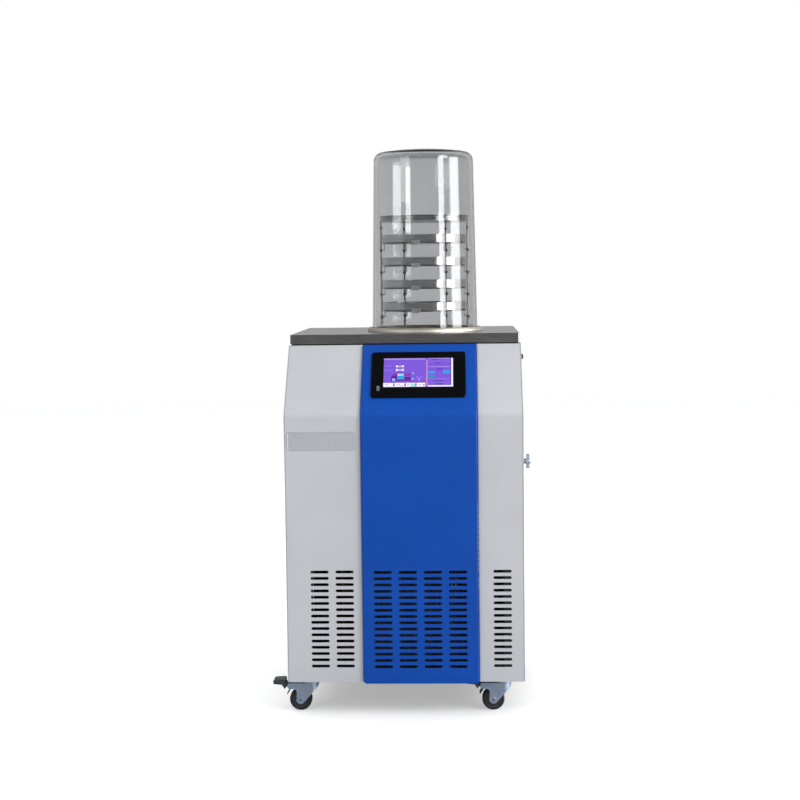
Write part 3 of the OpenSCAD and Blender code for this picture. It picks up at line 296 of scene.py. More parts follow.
def moulded_plastic(name, light, dark, rough, texture=2.2 * MM, coat=0.0, shine=0.5):
    """Injection-moulded ABS or nylon: flow shading that hardly shows and a spark-eroded texture.
    The real texture is 0.2 mm; drawn about 2 mm so that it shows, and coarser on a gloss skin,
    where it is only a slow ripple."""
    finish, tree, place = new_finish(name)
    flow = add(tree, "TexNoise", {"Scale": 1 / (50 * MM), "Detail": 3}, {"Vector": place})
    grain = add(tree, "TexNoise", {"Scale": 1 / texture, "Detail": 2}, {"Vector": place})
    colour = add(tree, "ValToRGB", {"stops": [(0.35, dark), (0.65, light)]}, {"Fac": flow})
    sheen = add(tree, "MapRange", {"To Min": rough - 0.05, "To Max": rough + 0.1}, {"Value": grain})
    bump = add(tree, "Bump", {"Distance": 0.06 * MM, "Strength": 0.35}, {"Height": grain})
    gloss = {"IOR": 1.53, "Specular IOR Level": shine, "Coat Weight": coat, "Coat Roughness": 0.05}
    return coated(finish, gloss, {"Base Color": colour, "Roughness": sheen, "Normal": bump})


def rubber(name, light, dark, rough):
    """Moulded rubber or silicone, matt with a little bloom on it: paler patches about 2 cm across,
    and a skin that took the mould's grain, drawn 1.6 mm across so that it shows."""
    finish, tree, place = new_finish(name)
    bloom = add(tree, "TexNoise", {"Scale": 1 / (20 * MM), "Detail": 4}, {"Vector": place})
    colour = add(tree, "ValToRGB", {"stops": [(0.35, dark), (0.7, light)]}, {"Fac": bloom})
    sheen = add(tree, "MapRange", {"To Min": rough - 0.08, "To Max": rough + 0.06},
                {"Value": bloom})
    grain = add(tree, "TexNoise", {"Scale": 1 / (1.6 * MM), "Detail": 3}, {"Vector": place})
    bump = add(tree, "Bump", {"Distance": 0.08 * MM, "Strength": 0.5}, {"Height": grain})
    return coated(finish, {"IOR": 1.52}, {"Base Color": colour, "Roughness": sheen, "Normal": bump})


def clear_acrylic(name):
    """Cast acrylic bell jar, 8 mm thick, polished in and out: a grey cast that deepens where more
    of the wall is looked through, sharp reflections, and a very slow waviness from casting."""
    finish, tree, place = new_finish(name)
    bulk = add(tree, "VolumeAbsorption", {"Color": linear("#b4b6b8"), "Density": 19.5})
    cast = add(tree, "TexNoise", {"Scale": 1 / (120 * MM), "Detail": 2}, {"Vector": place})
    wall = add(tree, "ValToRGB", {"stops": [(0.3, "#d6d7d8"), (0.7, "#dcddde")]}, {"Fac": cast})
    # the top of the dome is tinted a little greyer and made rougher than the wall
    height = add(tree, "SeparateXYZ", {}, {0: place}).outputs["Z"]
    dome_top_heights = {"From Min": jar_high.z - 16 * MM, "From Max": jar_high.z - 6 * MM}
    dome = add(tree, "MapRange", dome_top_heights, {"Value": height})
    colour = add(tree, "Mix", {"data_type": "RGBA", 7: linear("#c9cacb")},
                 {0: dome, 6: wall}).outputs[2]
    wiped = add(tree, "TexNoise", {"Scale": 1 / (30 * MM), "Detail": 3}, {"Vector": place})
    handled = add(tree, "MapRange", {"To Min": 0.0, "To Max": 0.03}, {"Value": wiped})
    sheen = add(tree, "Mix", {3: 0.22}, {0: dome, 2: handled})
    wave = add(tree, "TexNoise", {"Scale": 1 / (50 * MM), "Detail": 2}, {"Vector": place})
    bump = add(tree, "Bump", {"Distance": 0.1 * MM, "Strength": 0.15}, {"Height": wave})
    return coated(finish, {"IOR": 1.49, "Transmission Weight": 1.0},
                  {"Base Color": colour, "Roughness": sheen, "Normal": bump}, Volume=bulk)


def drawn_copper(name):
    """Drawn refrigeration tube: orange-brown copper, darkened unevenly where it was brazed and
    handled."""
    finish, tree, place = new_finish(name)
    stain = add(tree, "TexNoise", {"Scale": 1 / (30 * MM), "Detail": 4}, {"Vector": place})
    browns = [(0.3, "#8a4e32"), (0.5, "#b86f4a"), (0.7, "#cf8a62")]
    colour = add(tree, "ValToRGB", {"stops": browns}, {"Fac": stain})
    sheen = add(tree, "MapRange", {"To Min": 0.28, "To Max": 0.5}, {"Value": stain})
    return coated(finish, {"Metallic": 1.0}, {"Base Color": colour, "Roughness": sheen})


def fin_stock(name):
    """Mill-finish aluminium fins: pale dull metal with rolling streaks 4 cm long across the
    pack."""
    finish, tree, place = new_finish(name)
    laid = add(tree, "Mapping", {"Scale": (0.1, 1, 1)}, {"Vector": place})
    rolled = add(tree, "TexNoise", {"Scale": 1 / (4 * MM), "Detail": 3}, {"Vector": laid})
    colour = add(tree, "ValToRGB", {"stops": [(0.35, "#8f8f8c"), (0.65, "#bcbbb6")]},
                 {"Fac": rolled})
    sheen = add(tree, "MapRange", {"To Min": 0.4, "To Max": 0.6}, {"Value": rolled})
    return coated(finish, {"Metallic": 1.0}, {"Base Color": colour, "Roughness": sheen})


def cut_foam(name):
    """Poured polyurethane foam, yellowish, with 4 mm cells open where it was trimmed."""
    finish, tree, place = new_finish(name)
    cells = add(tree, "TexVoronoi", {"Scale": 260.0}, {"Vector": place})
    colour = add(tree, "ValToRGB", {"stops": [(0.0, "#b59c57"), (0.6, "#dcc98c")]}, {"Fac": cells})
    bump = add(tree, "Bump", {"Distance": 0.8 * MM, "Strength": 0.7}, {"Height": cells})
    return coated(finish, {"IOR": 1.4, "Roughness": 0.95}, {"Base Color": colour, "Normal": bump})


def lit_dots(name, code):
    """A lit patch of the display under its glass: an even colour broken by the dot grid. Real dots
    are 0.3 mm apart; drawn 1.5 mm apart so that they show."""
    finish, tree, place = new_finish(name)
    dots = add(tree, "TexVoronoi", {"Scale": 650.0, "Randomness": 0.0}, {"Vector": place})
    level = add(tree, "MapRange", {"To Min": 1.0, "To Max": 0.86}, {"Value": dots})
    inked = {"data_type": "RGBA", "blend_type": "MULTIPLY", 0: 1.0, 6: linear(code)}
    colour = add(tree, "Mix", inked, {7: level}).outputs[2]
    glass = {"IOR": 1.5, "Roughness": 0.25, "Coat Weight": 1.0, "Coat Roughness": 0.03,
             "Emission Strength": 0.2}
    return coated(finish, glass, {"Base Color": colour, "Emission Color": colour})


light_grey_coat = powder_coat("powder_coated_steel_light_grey", "#cfd1d6", "#c6c8cd", 0.42)
blue_coat = powder_coat("powder_coated_steel_blue", "#004fb8", "#0049aa", 0.45, shine=0.2)
brushed_plate = brushed_steel("brushed_stainless_sheet", "#a6a6a5", "#8e8e8d", 0.28)
turned_stainless = turned_steel("turned_polished_stainless", "#d2d0cb", "#aeaca7", 0.24)
ring_stainless = turned_steel("turned_satin_stainless", "#f2ebe0", "#d8d1c6", 0.46)
# the pale grey of the trays' pull tabs is a painted reflection of the bright space overhead
drawn_stainless = tray_steel("drawn_polished_stainless", "#d4d4d4", "#b8b8b8", "#d9d9d8", 0.12)
lid_stainless = brushed_steel("spun_stainless_lid", "#c0c0c0", "#a2a2a2", 0.2)
# the rods' pale greys and low metal are a painted reflection of a bright surround
rod_steel = collared_rod("ground_rod_with_blackened_collars", "#f2f2f1", "#dededd", "#4c4c50")
jar_silicone = rubber("cream_silicone_rubber", "#d3cabb", "#b8ae9d", 0.45)
fork_zinc = zinc_plate("blue_zinc_plated_steel")
spangled_zinc = galvanised_steel("hot_dip_galvanised_steel")
plaque_silver = blasted_aluminium("bead_blasted_anodised_aluminium")
gloss_abs = moulded_plastic("gloss_black_moulded_abs", "#08090b", "#050607",
                            0.16, 6 * MM, coat=0.1, shine=0.2)
dark_abs = moulded_plastic("dark_moulded_abs", "#26272b", "#1c1d20", 0.5)
grey_nylon = moulded_plastic("grey_moulded_nylon", "#4a4c52", "#3a3c42", 0.45)
seal_rubber = rubber("black_nitrile_rubber", "#2a2a2b", "#171718", 0.7)
tyre_rubber = rubber("black_tyre_rubber", "#2c2d30", "#1b1c1e", 0.72)
jar_acrylic = clear_acrylic("cast_clear_acrylic")
pipe_copper = drawn_copper("drawn_copper_tube")
fins = fin_stock("mill_finish_aluminium_fins")
trap_foam = cut_foam("poured_polyurethane_foam")
# stoving enamel flows out as evenly as a moulded skin, with a slow ripple under its gloss
black_enamel = moulded_plastic("black_stoving_enamel_on_steel", "#1b1b1d", "#111113",
                               0.35, 4 * MM, coat=0.3)

FINISH_OF_SLOT = {
    "grey_paint": light_grey_coat,
    "blue_paint": blue_coat,
    "stainless": brushed_plate,
    "polished_stainless": turned_stainless,
    "galvanised": spangled_zinc,
    "zinc_plate": fork_zinc,
    "plaque_metal": plaque_silver,
    "black_gloss": gloss_abs,
    "screen": gloss_abs,
    "dark_plastic": dark_abs,
    "grey_plastic": grey_nylon,
    "seal_rubber": seal_rubber,
    "tyre_rubber": tyre_rubber,
    "clear_acrylic": jar_acrylic,
    "foam": trap_foam,
    "black_paint": black_enamel,
    "copper": pipe_copper,
    "fin_aluminium": fins,
}
FINISH_OF_NODE = {
    "tray_1": drawn_stainless,
    "tray_2": drawn_stainless,
    "tray_3": drawn_stainless,
    "tray_4": drawn_stainless,
    "rack_foot": drawn_stainless,
    "rack_lid": lid_stainless,
    "rack_rods": rod_steel,
    "jar_seal": jar_silicone,
    "base_ring": ring_stainless,
    # the frame posts behind the louvres take black enamel: painted shade, so the slots look as dark
    # as the shaded inside
    "frame_posts": black_enamel,
}


def coat_nodes():
    """Each CAD node takes the finish of its slot in the record, or its own where it has one."""
    for name, node in cad_nodes.items():
        node.data.materials.clear()
        node.data.materials.append(FINISH_OF_NODE.get(name, FINISH_OF_SLOT[SLOT_OF_NODE[name]]))


coat_nodes()


# ---------------------------------------------------------------- modelling by hand

LEAN = math.radians(43.47)  # how far the console leans back from upright
CONSOLE_UP = Vector((0, math.sin(LEAN), math.cos(LEAN)))
BEZEL_THICK, SCREEN_THICK, USB_THICK = 4 * MM, 1 * MM, 2 * MM
HAIR = 0.01 * MM  # closer than this counts as the same place


def only(piece):
    """Leaves piece as the one selected and active object."""
    bpy.ops.object.select_all(action="DESELECT")
    piece.select_set(True)
    bpy.context.view_layer.objects.active = piece


def pick(piece, kind, test):
    """Enters edit mode with just the faces, or the edges, that pass test: a face by its middle and
    normal, an edge by its two ends."""
    only(piece)
    bpy.ops.object.mode_set(mode="EDIT")
    bpy.ops.mesh.select_mode(type=kind)
    bpy.ops.mesh.select_all(action="DESELECT")
    bpy.ops.object.mode_set(mode="OBJECT")
    mesh = piece.data
    if kind == "FACE":
        for face in mesh.polygons:
            face.select = test(face.center, face.normal)
    else:
        for edge in mesh.edges:
            edge.select = test(*(mesh.vertices[i].co for i in edge.vertices))
    bpy.ops.object.mode_set(mode="EDIT")


def done():
    """Leaves edit mode."""
    bpy.ops.object.mode_set(mode="OBJECT")


def fix_place(piece):
    """Moves the piece's place, turn and size into its mesh."""
    only(piece)
    bpy.ops.object.transform_apply(location=True, rotation=True, scale=True)


def round_slab(name, size, corner, segments):
    """A slab that lies on Z = 0 about the origin, with its four upright edges rounded to corner."""
    bpy.ops.object.select_all(action="DESELECT")
    bpy.ops.mesh.primitive_cube_add(size=1, location=(0, 0, size[2] / 2), scale=size)
    piece = bpy.context.object
    piece.name = name
    fix_place(piece)
    pick(piece, "EDGE", lambda a, b: abs(a.z - b.z) > size[2] / 2)
    bpy.ops.mesh.bevel(offset=corner, segments=segments, affect="EDGES")
    done()
    return piece


def score(piece, across=(), along=()):
    """Scores a slab right through with a flat cut at each x in across and each y in along."""
    only(piece)
    bpy.ops.object.mode_set(mode="EDIT")
    for axis, places in ((0, across), (1, along)):
        for place in places:
            spot, facing = [0, 0, 0], [0, 0, 0]
            spot[axis], facing[axis] = place, 1
            bpy.ops.mesh.select_all(action="SELECT")
            bpy.ops.mesh.bisect(plane_co=spot, plane_no=facing)
    done()


def sink(piece, low, high, top, depth):
    """Presses the top faces whose middles lie between the corners low and high down by depth."""
    pick(piece, "FACE", lambda c, n: n.z > 0.9 and abs(c.z - top) < HAIR
         and low[0] < c.x < high[0] and low[1] < c.y < high[1])
    bpy.ops.mesh.extrude_region_move(TRANSFORM_OT_translate={"value": (0, 0, -depth)})
    done()


def soften(piece, width, segments, angle=38):
    """Rounds every edge sharper than angle to width, and shades the rounds smooth while flat faces
    stay flat."""
    only(piece)
    bevel = piece.modifiers.new("softened", "BEVEL")
    bevel.width = width
    bevel.segments = segments
    bevel.limit_method = "ANGLE"
    bevel.angle_limit = math.radians(angle)
    bpy.ops.object.modifier_apply(modifier="softened")
    bpy.ops.object.shade_smooth_by_angle(angle=math.radians(32))
    piece.modifiers.new("flats", "WEIGHTED_NORMAL").keep_sharp = True
    bpy.ops.object.modifier_apply(modifier="flats")


def set_down(piece, place, tilt):
    """Turns a piece that was built flat up by tilt about X, and moves it to place."""
    piece.rotation_euler = (tilt, 0, 0)
    piece.location = place
    fix_place(piece)


def hand_over(piece, slot, finish, *nodes, body="cabinet"):
    """Gives a finished piece its finish and its body, and hides the CAD nodes that it stands for.
    The slot is not used."""
    if finish:
        piece.data.materials.clear()
        piece.data.materials.append(finish)
    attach(piece, body)
    if nodes:
        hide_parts(*nodes)


def console_seat(node, thick):
    """A slab that lies on the console, from its box: the middle of its back face, its length and
    its width."""
    low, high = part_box(node)
    foot = Vector(((low.x + high.x) / 2, low.y + thick * math.cos(LEAN), low.z))
    length = (high.z - low.z - thick * math.sin(LEAN)) / math.cos(LEAN)
    return foot + CONSOLE_UP * length / 2, length, high.x - low.x


def display_moulding():
    """The display's black moulding: rounded outline, a window sunk for the screen and a small one
    for the USB socket, and every edge softened as it leaves the mould."""
    seat, length, width = console_seat("display_bezel", BEZEL_THICK)
    size = (width, length, BEZEL_THICK)
    piece = round_slab("display_moulding", size, corner=7 * MM, segments=10)
    windows = []
    for node, thick, sunk in (("display_screen", SCREEN_THICK, 1.5 * MM),
                              ("usb_socket", USB_THICK, 2.0 * MM)):
        middle, tall, wide = console_seat(node, thick)
        x, y = middle.x - seat.x, (middle - seat).dot(CONSOLE_UP)
        windows.append(((x - wide / 2, y - tall / 2), (x + wide / 2, y + tall / 2), sunk))
    corners = [corner for window in windows for corner in window[:2]]
    score(piece, [x for x, _ in corners], [y for _, y in corners])
    for low, high, sunk in windows:
        sink(piece, low, high, BEZEL_THICK, sunk)
    soften(piece, width=0.9 * MM, segments=3)
    set_down(piece, seat, math.pi / 2 - LEAN)
    hand_over(piece, "black_gloss", gloss_abs, "display_bezel")


# The running page of the display: left, right, top and bottom of each patch as parts of its width
# and height from the top left, and its ink. A later patch lies over an earlier one.
PAGE = [
    (0.0, 1.0, 0.0, 1.0, "violet"), (0.0, 0.6, 0.0, 0.05, "lilac"),
    (0.64, 0.955, 0.0, 0.03, "lilac"), (0.0, 0.11, 0.25, 0.28, "pale_violet"),
    (0.0, 0.12, 0.4, 0.43, "pale_violet"), (0.175, 0.207, 0.25, 0.31, "white"),
    (0.215, 0.247, 0.26, 0.31, "grey"), (0.257, 0.29, 0.25, 0.31, "white"),
    (0.175, 0.207, 0.37, 0.44, "white"), (0.215, 0.247, 0.38, 0.44, "grey"),
    (0.257, 0.29, 0.37, 0.44, "white"), (0.135, 0.193, 0.535, 0.6, "magenta"),
    (0.118, 0.193, 0.6, 0.66, "plum"), (0.107, 0.193, 0.66, 0.8, "plum"),
    (0.125, 0.168, 0.7, 0.79, "sky"), (0.2, 0.295, 0.54, 0.735, "cyan"),
    (0.205, 0.285, 0.545, 0.605, "pale_cyan"), (0.205, 0.225, 0.545, 0.6, "white"),
    (0.2, 0.39, 0.735, 0.785, "plum"), (0.3, 0.39, 0.53, 0.615, "magenta"),
    (0.3, 0.39, 0.655, 0.71, "ink"), (0.3, 0.39, 0.71, 0.735, "magenta"),
    (0.41, 0.436, 0.5, 0.56, "sky"), (0.405, 0.432, 0.69, 0.745, "sky"),
    (0.48, 0.492, 0.62, 0.69, "lilac"), (0.492, 0.505, 0.69, 0.75, "lilac"),
    (0.505, 0.52, 0.75, 0.81, "lilac"), (0.52, 0.53, 0.69, 0.75, "lilac"),
    (0.53, 0.54, 0.62, 0.69, "lilac"), (0.38, 0.6, 0.825, 0.845, "magenta"),
    (0.0, 0.6, 0.855, 0.99, "white"), (0.392, 0.46, 0.88, 0.99, "mint"),
    (0.02, 0.07, 0.905, 0.935, "grey"), (0.18, 0.24, 0.905, 0.935, "grey"),
    (0.24, 0.29, 0.935, 0.96, "grey"), (0.34, 0.375, 0.905, 0.935, "grey"),
    (0.5, 0.54, 0.905, 0.935, "grey"), (0.572, 0.588, 0.9, 0.955, "dash"),
    (0.142, 0.16, 0.87, 0.97, "dash"), (0.303, 0.322, 0.87, 0.97, "dash"),
    (0.46, 0.476, 0.87, 0.97, "dash"), (0.613, 0.632, 0.05, 0.975, "rose"),
    (0.64, 0.955, 0.095, 0.115, "pale_violet"), (0.64, 0.955, 0.29, 0.315, "lilac"),
    (0.64, 0.955, 0.715, 0.745, "pale_violet"), (0.64, 0.955, 0.84, 0.86, "pale_violet"),
    (0.69, 0.79, 0.04, 0.07, "dash"), (0.74, 0.83, 0.158, 0.19, "dash"),
    (0.765, 0.85, 0.37, 0.41, "dash"), (0.72, 0.86, 0.785, 0.815, "dash"),
    (0.76, 0.85, 0.885, 0.92, "dash"), (0.643, 0.74, 0.455, 0.545, "cyan"),
    (0.643, 0.735, 0.6, 0.7, "teal"), (0.855, 0.953, 0.43, 0.535, "cyan"),
    (0.638, 1.0, 0.945, 0.99, "white"), (0.957, 0.966, 0.0, 0.94, "dash"),
    (0.972, 0.996, 0.0, 0.99, "white"),
]
INKS = {
    "violet": "#7a54d8", "pale_violet": "#8f6ce0", "lilac": "#a98ce8", "white": "#f5f1fb",
    "grey": "#c4bdd6", "plum": "#5b159a", "magenta": "#8c2aa4", "ink": "#47107f", "sky": "#93b4f2",
    "cyan": "#2d9ddb", "pale_cyan": "#a9def4", "teal": "#1d8fbd", "mint": "#a6e2d6",
    "rose": "#c78cb8", "dash": "#5434a8",
}


def ink_at(u, v):
    """The ink of the topmost patch of the page at u across and v down."""
    return [ink for left, right, top, bottom, ink in PAGE
            if left <= u <= right and top <= v <= bottom][-1]


def display_picture():
    """The lit display: a thin slab scored into the patches of its running page, which are then
    inked."""
    seat, length, width = console_seat("display_screen", SCREEN_THICK)
    size = (width, length, SCREEN_THICK)
    piece = round_slab("display_picture", size, corner=0.6 * MM, segments=3)
    across = sorted({(u - 0.5) * width for patch in PAGE for u in patch[:2] if 0 < u < 1})
    along = sorted({(0.5 - v) * length for patch in PAGE for v in patch[2:4] if 0 < v < 1})
    score(piece, across, along)
    piece.data.materials.append(gloss_abs)
    for name, code in INKS.items():
        piece.data.materials.append(lit_dots("lit_display_" + name, code))
    slot_of_ink = {name: place for place, name in enumerate(INKS, 1)}
    for face in piece.data.polygons:
        if face.normal.z > 0.9:
            ink = ink_at(face.center.x / width + 0.5, 0.5 - face.center.y / length)
            face.material_index = slot_of_ink[ink]
    set_down(piece, seat, math.pi / 2 - LEAN)
    hand_over(piece, "screen", None, "display_screen")


def bare_plaque():
    """The name plate, left bare: coined from one sheet, with a raised rim round its sunk face."""
    low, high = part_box("name_plate")
    size = (high.x - low.x, high.z - low.z, high.y - low.y)
    piece = round_slab("bare_plaque", size, corner=4 * MM, segments=8)
    pick(piece, "FACE", lambda c, n: n.z > 0.9)
    bpy.ops.mesh.inset(thickness=1.6 * MM, depth=0)
    bpy.ops.mesh.inset(thickness=0.5 * MM, depth=-0.5 * MM)
    done()
    soften(piece, width=0.3 * MM, segments=2, angle=30)
    set_down(piece, ((low.x + high.x) / 2, high.y, (low.z + high.z) / 2), math.pi / 2)
    hand_over(piece, "plaque_metal", plaque_silver, "name_plate")


FIN_MARGINS = (10 * MM, 2 * MM, 4 * MM)  # left free at each end, front and back, top and bottom
FOLDS, FOLD_DEPTH, FOIL = 8, 1.15 * MM, 0.15 * MM
PLATE_GAPS, FINS_PER_GAP = 31, 3


def fin_pack():
    """The condenser's corrugated fins, too fine for the CAD's own plates and set between them: one
    fin is folded into waves, and its copies stand three to a gap. The waves are what stops a
    straight look through the coil."""
    low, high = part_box("condenser")
    width, depth, tall = (high - low) - 2 * Vector(FIN_MARGINS)
    bpy.ops.object.select_all(action="DESELECT")
    bpy.ops.mesh.primitive_plane_add(size=1, rotation=(0, math.pi / 2, 0))
    fin = bpy.context.object
    fin.name = "condenser_fin"
    fin.scale = (tall, depth, 1)
    fix_place(fin)
    creases = [depth * (i / FOLDS - 0.5) for i in range(1, FOLDS)]
    score(fin, along=creases)
    for i, crease in enumerate(creases):
        pick(fin, "EDGE", lambda a, b: abs(a.y - crease) < HAIR and abs(b.y - crease) < HAIR)
        bpy.ops.transform.translate(value=((-1) ** i * FOLD_DEPTH, 0, 0))
        done()
    thick = fin.modifiers.new("foil", "SOLIDIFY")
    thick.thickness = FOIL
    thick.offset = 0
    bpy.ops.object.modifier_apply(modifier="foil")
    copies = []
    for gap in range(PLATE_GAPS):
        for i in range(FINS_PER_GAP):
            copy = fin.copy()
            copy.data = fin.data.copy()
            copy.location.x = (gap + (i + 1) / (FINS_PER_GAP + 1)) * width / PLATE_GAPS - width / 2
            bpy.context.scene.collection.objects.link(copy)
            copies.append(copy)
    only(copies[0])
    for copy in copies:
        copy.select_set(True)
    bpy.ops.object.join()
    bpy.data.objects.remove(fin)
    pack = bpy.context.object
    pack.name = "condenser_fin_pack"
    pack.location += (low + high) / 2
    fix_place(pack)
    hand_over(pack, "fin_aluminium", fins)


def softened(node, width, segments):
    """A piece worked from the CAD node's own shape: its loose triangles are merged into whole
    faces, and then its edges are rounded to width, as bending, casting or moulding leaves them."""
    piece = bpy.data.objects.new(node + "_softened", cad_nodes[node].data.copy())
    bpy.context.scene.collection.objects.link(piece)
    only(piece)
    bpy.ops.object.mode_set(mode="EDIT")
    bpy.ops.mesh.select_all(action="SELECT")
    bpy.ops.mesh.remove_doubles(threshold=HAIR)
    bpy.ops.mesh.dissolve_limited(angle_limit=math.radians(1))
    done()
    bpy.ops.mesh.customdata_custom_splitnormals_clear()
    soften(piece, width, segments)
    hand_over(piece, SLOT_OF_NODE[node], None, node, body=BODY_OF_NODE[node])


# The CAD nodes that are softened: the width of the rounded edges, and the steps across them.
EDGES = {
    "top_plate": (2.2 * MM, 4),
    "left_panel": (0.8 * MM, 2),
    "right_panel": (0.8 * MM, 2),
    "pedal_left": (1.0 * MM, 3),
    "pedal_right": (1.0 * MM, 3),
    "valve_handle": (0.7 * MM, 3),
    "switch_frame": (0.5 * MM, 2),
    "switch_rocker": (0.5 * MM, 2),
    "base_ring": (1.2 * MM, 3),
}

display_moulding()
display_picture()
bare_plaque()
fin_pack()
for node, (width, segments) in EDGES.items():
    softened(node, width, segments)


# ---------------------------------------------------------------- studio

WHITE = (1, 1, 1, 1)
# How strongly matt surfaces are lit from below and from overhead.
FROM_BELOW, FROM_OVERHEAD = 0.37, 0.78
# How bright metal and gloss show each part of the studio.
FRONT_ROOM, GREY_WALL, PALE_BAND, BACKDROP = 0.11, 0.34, 0.34, 0.66
# How bright the front is when looked at straight through the jar, and when mirrored inside it, and
# how much brighter the wall is there.
FRONT_THROUGH_JAR, FRONT_INSIDE_JAR, WALL_INSIDE_JAR = 0.85, 0.5, 2.6
# Place, what it is aimed at, width and height in metres, and watts.
SOFT_BOXES = {
    "key_box": ((3.2, -2.6, 2.8), (0, -0.1, 0.6), (1.5, 1.8), 92),
    "fill_box": ((-2.6, -3.0, 2.2), (0, -0.1, 0.6), (1.6, 1.6), 22),
    "back_fill": ((-1.2, 3.6, 2.6), (0, 0.2, 0.6), (2.4, 1.6), 42),
}
# Degrees right of the front, width, bottom and top in metres, and radiance.
STRIPS = {
    "right_strip": (41.5, 0.66, 0.05, 2.25, 9),
    "far_right_strip": (75.5, 1.3, 0.05, 2.25, 9),
    "left_strip": (-34.0, 0.6, 1.24, 1.5, 4.8),
    "far_left_strip": (-62.0, 1.1, 1.24, 1.5, 3.6),
}
STRIP_DISTANCE = 3.0
FLOOR_RADIUS, FLOOR_GAP = 9, 0.2 * MM


def lamp(name, place, aim, size, power):
    """A soft box: a rectangular lamp at place, turned to aim."""
    box = bpy.data.lights.new(name, "AREA")
    box.shape = "RECTANGLE"
    box.size, box.size_y = size
    box.energy = power
    stand = bpy.data.objects.new(name, box)
    stand.location = place
    stand.rotation_euler = (Vector(aim) - Vector(place)).to_track_quat("-Z", "Y").to_euler()
    stand.visible_camera = False
    bpy.context.scene.collection.objects.link(stand)
    return stand


def light_machine():
    """One large box high at the front right, weaker ones at the left and behind, and strips for the
    highlights."""
    for name, (place, aim, size, power) in SOFT_BOXES.items():
        box = lamp(name, place, aim, size, power)
        # the box behind only fills the back, and shows in neither metal nor jar
        box.visible_glossy = box.visible_transmission = name != "back_fill"
    for name, (azimuth, width, bottom, top, radiance) in STRIPS.items():
        turn, level = math.radians(azimuth), (bottom + top) / 2
        place = (JAR_X + STRIP_DISTANCE * math.sin(turn),
                 JAR_Y - STRIP_DISTANCE * math.cos(turn), level)
        power = radiance * math.pi * width * (top - bottom)
        box = lamp(name, place, (JAR_X, JAR_Y, level), (width, top - bottom), power)
        # a strip only draws highlights on metal, gloss and the jar
        box.visible_diffuse = False


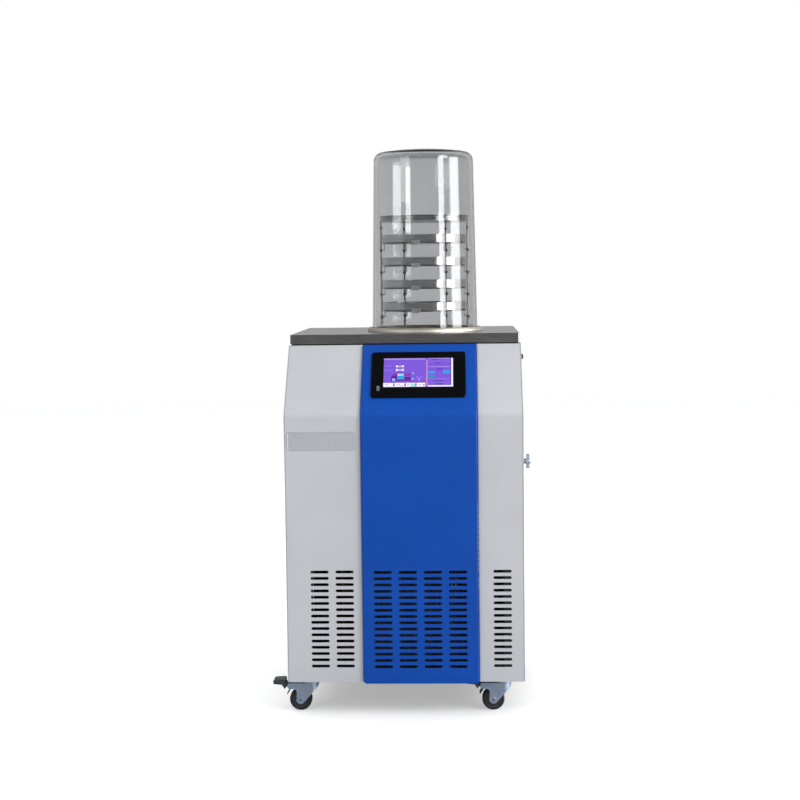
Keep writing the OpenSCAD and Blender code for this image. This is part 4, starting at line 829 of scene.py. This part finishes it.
def surround():
    """White all round to the eye. Matt surfaces are lit from above more than from below, metal
    shows a studio, and what is looked at through the jar is the backdrop."""
    world = bpy.data.worlds.new("white_surround")
    bpy.context.scene.world = world
    world.use_nodes = True
    tree = world.node_tree
    tree.nodes.clear()
    path = add(tree, "LightPath").outputs
    toward = add(tree, "SeparateXYZ", {}, {0: add(tree, "TexCoord").outputs["Generated"]}).outputs
    x, y, z = toward["X"], toward["Y"], toward["Z"]
    # the light on matt surfaces, a little bluer from below
    overhead = add(tree, "MapRange", {"From Min": -0.6, "To Min": FROM_BELOW,
                                      "To Max": FROM_OVERHEAD}, {"Value": z})
    rising = add(tree, "MapRange", {"From Min": -0.4, "From Max": 0.5}, {"Value": z})
    tint = add(tree, "ValToRGB", {"stops": [(0.0, "#e6f1ff"), (1.0, "#ffffff")]}, {"Fac": rising})
    # metal and gloss show a white backdrop behind the machine, a grey wall on the left and a dim
    # room in front
    behind = add(tree, "MapRange", {"From Min": 0.88, "From Max": 0.97}, {"Value": y})
    low = add(tree, "MapRange", {"From Min": 0.85, "From Max": 0.45}, {"Value": z})
    backdrop = add(tree, "Math", {"operation": "MULTIPLY"}, {0: behind, 1: low})
    wall = add(tree, "MapRange", {"From Min": -0.78, "From Max": -0.86,
                                  "To Min": FRONT_ROOM, "To Max": GREY_WALL}, {"Value": x})
    # a pale band of wall runs all round between eye level and the ceiling, which stays dark over
    # the display
    rise = add(tree, "MapRange", {"From Min": 0.14, "From Max": 0.4, "To Max": PALE_BAND},
               {"Value": z})
    fall = add(tree, "MapRange", {"From Min": 0.93, "From Max": 0.75, "To Max": PALE_BAND},
               {"Value": z})
    band = add(tree, "Math", {"operation": "MINIMUM"}, {0: rise, 1: fall})
    around = add(tree, "Math", {"operation": "MAXIMUM"}, {0: wall, 1: band})
    room = add(tree, "Mix", {3: BACKDROP}, {0: backdrop, 2: around})
    # straight through the jar is the backdrop, and what is mirrored inside it is the room
    beyond = add(tree, "MapRange", {"From Min": 0.2, "From Max": 0.6, "To Min": FRONT_INSIDE_JAR},
                 {"Value": y})
    lit = add(tree, "Math", {"operation": "MULTIPLY", 1: WALL_INSIDE_JAR}, {0: wall})
    inside = add(tree, "Math", {"operation": "MAXIMUM"}, {0: beyond, 1: lit})
    straight = add(tree, "Math", {"operation": "MAXIMUM", 1: FRONT_THROUGH_JAR}, {0: beyond})
    through = add(tree, "Mix", {}, {0: path["Glossy Depth"], 2: straight, 3: inside})
    shown = add(tree, "Background", {}, {"Color": tint, "Strength": overhead})
    for ray, strength in (("Is Glossy Ray", room), ("Is Transmission Ray", through)):
        seen = add(tree, "Background", {"Color": WHITE}, {"Strength": strength})
        shown = add(tree, "MixShader", {}, {0: path[ray], 1: shown, 2: seen})
    white = add(tree, "Background", {"Color": WHITE, "Strength": 1.0})
    shown = add(tree, "MixShader", {}, {0: path["Is Camera Ray"], 1: shown, 2: white})
    add(tree, "OutputWorld", {}, {"Surface": shown})


def lay_floor():
    """A white floor that keeps the machine's shadow: lifted to white for the eye, greyer for what
    it lights, and greyer still where metal and gloss show it."""
    finish = bpy.data.materials.new("white_studio_floor")
    finish.use_nodes = True
    tree = finish.node_tree
    tree.nodes.clear()
    path = add(tree, "LightPath").outputs
    matt, dull, dim = (add(tree, "BsdfDiffuse", {"Color": (grey, grey, grey, 1)})
                       for grey in (0.9, 0.6, 0.3))
    lift = add(tree, "Emission", {"Color": WHITE, "Strength": 0.36})
    lifted = add(tree, "AddShader", {}, {0: matt, 1: lift})
    unseen = add(tree, "MixShader", {}, {0: path["Is Glossy Ray"], 1: dull, 2: dim})
    shown = add(tree, "MixShader", {}, {0: path["Is Camera Ray"], 1: unseen, 2: lifted})
    add(tree, "OutputMaterial", {}, {"Surface": shown})
    bpy.ops.mesh.primitive_circle_add(vertices=96, radius=FLOOR_RADIUS, fill_type="NGON",
                                      location=(0, 0, cad_box[0].z - FLOOR_GAP))
    floor = bpy.context.object
    floor.name = "studio_floor"
    floor.data.materials.append(finish)


bpy.context.scene.view_settings.view_transform = "Standard"
surround()
light_machine()
lay_floor()
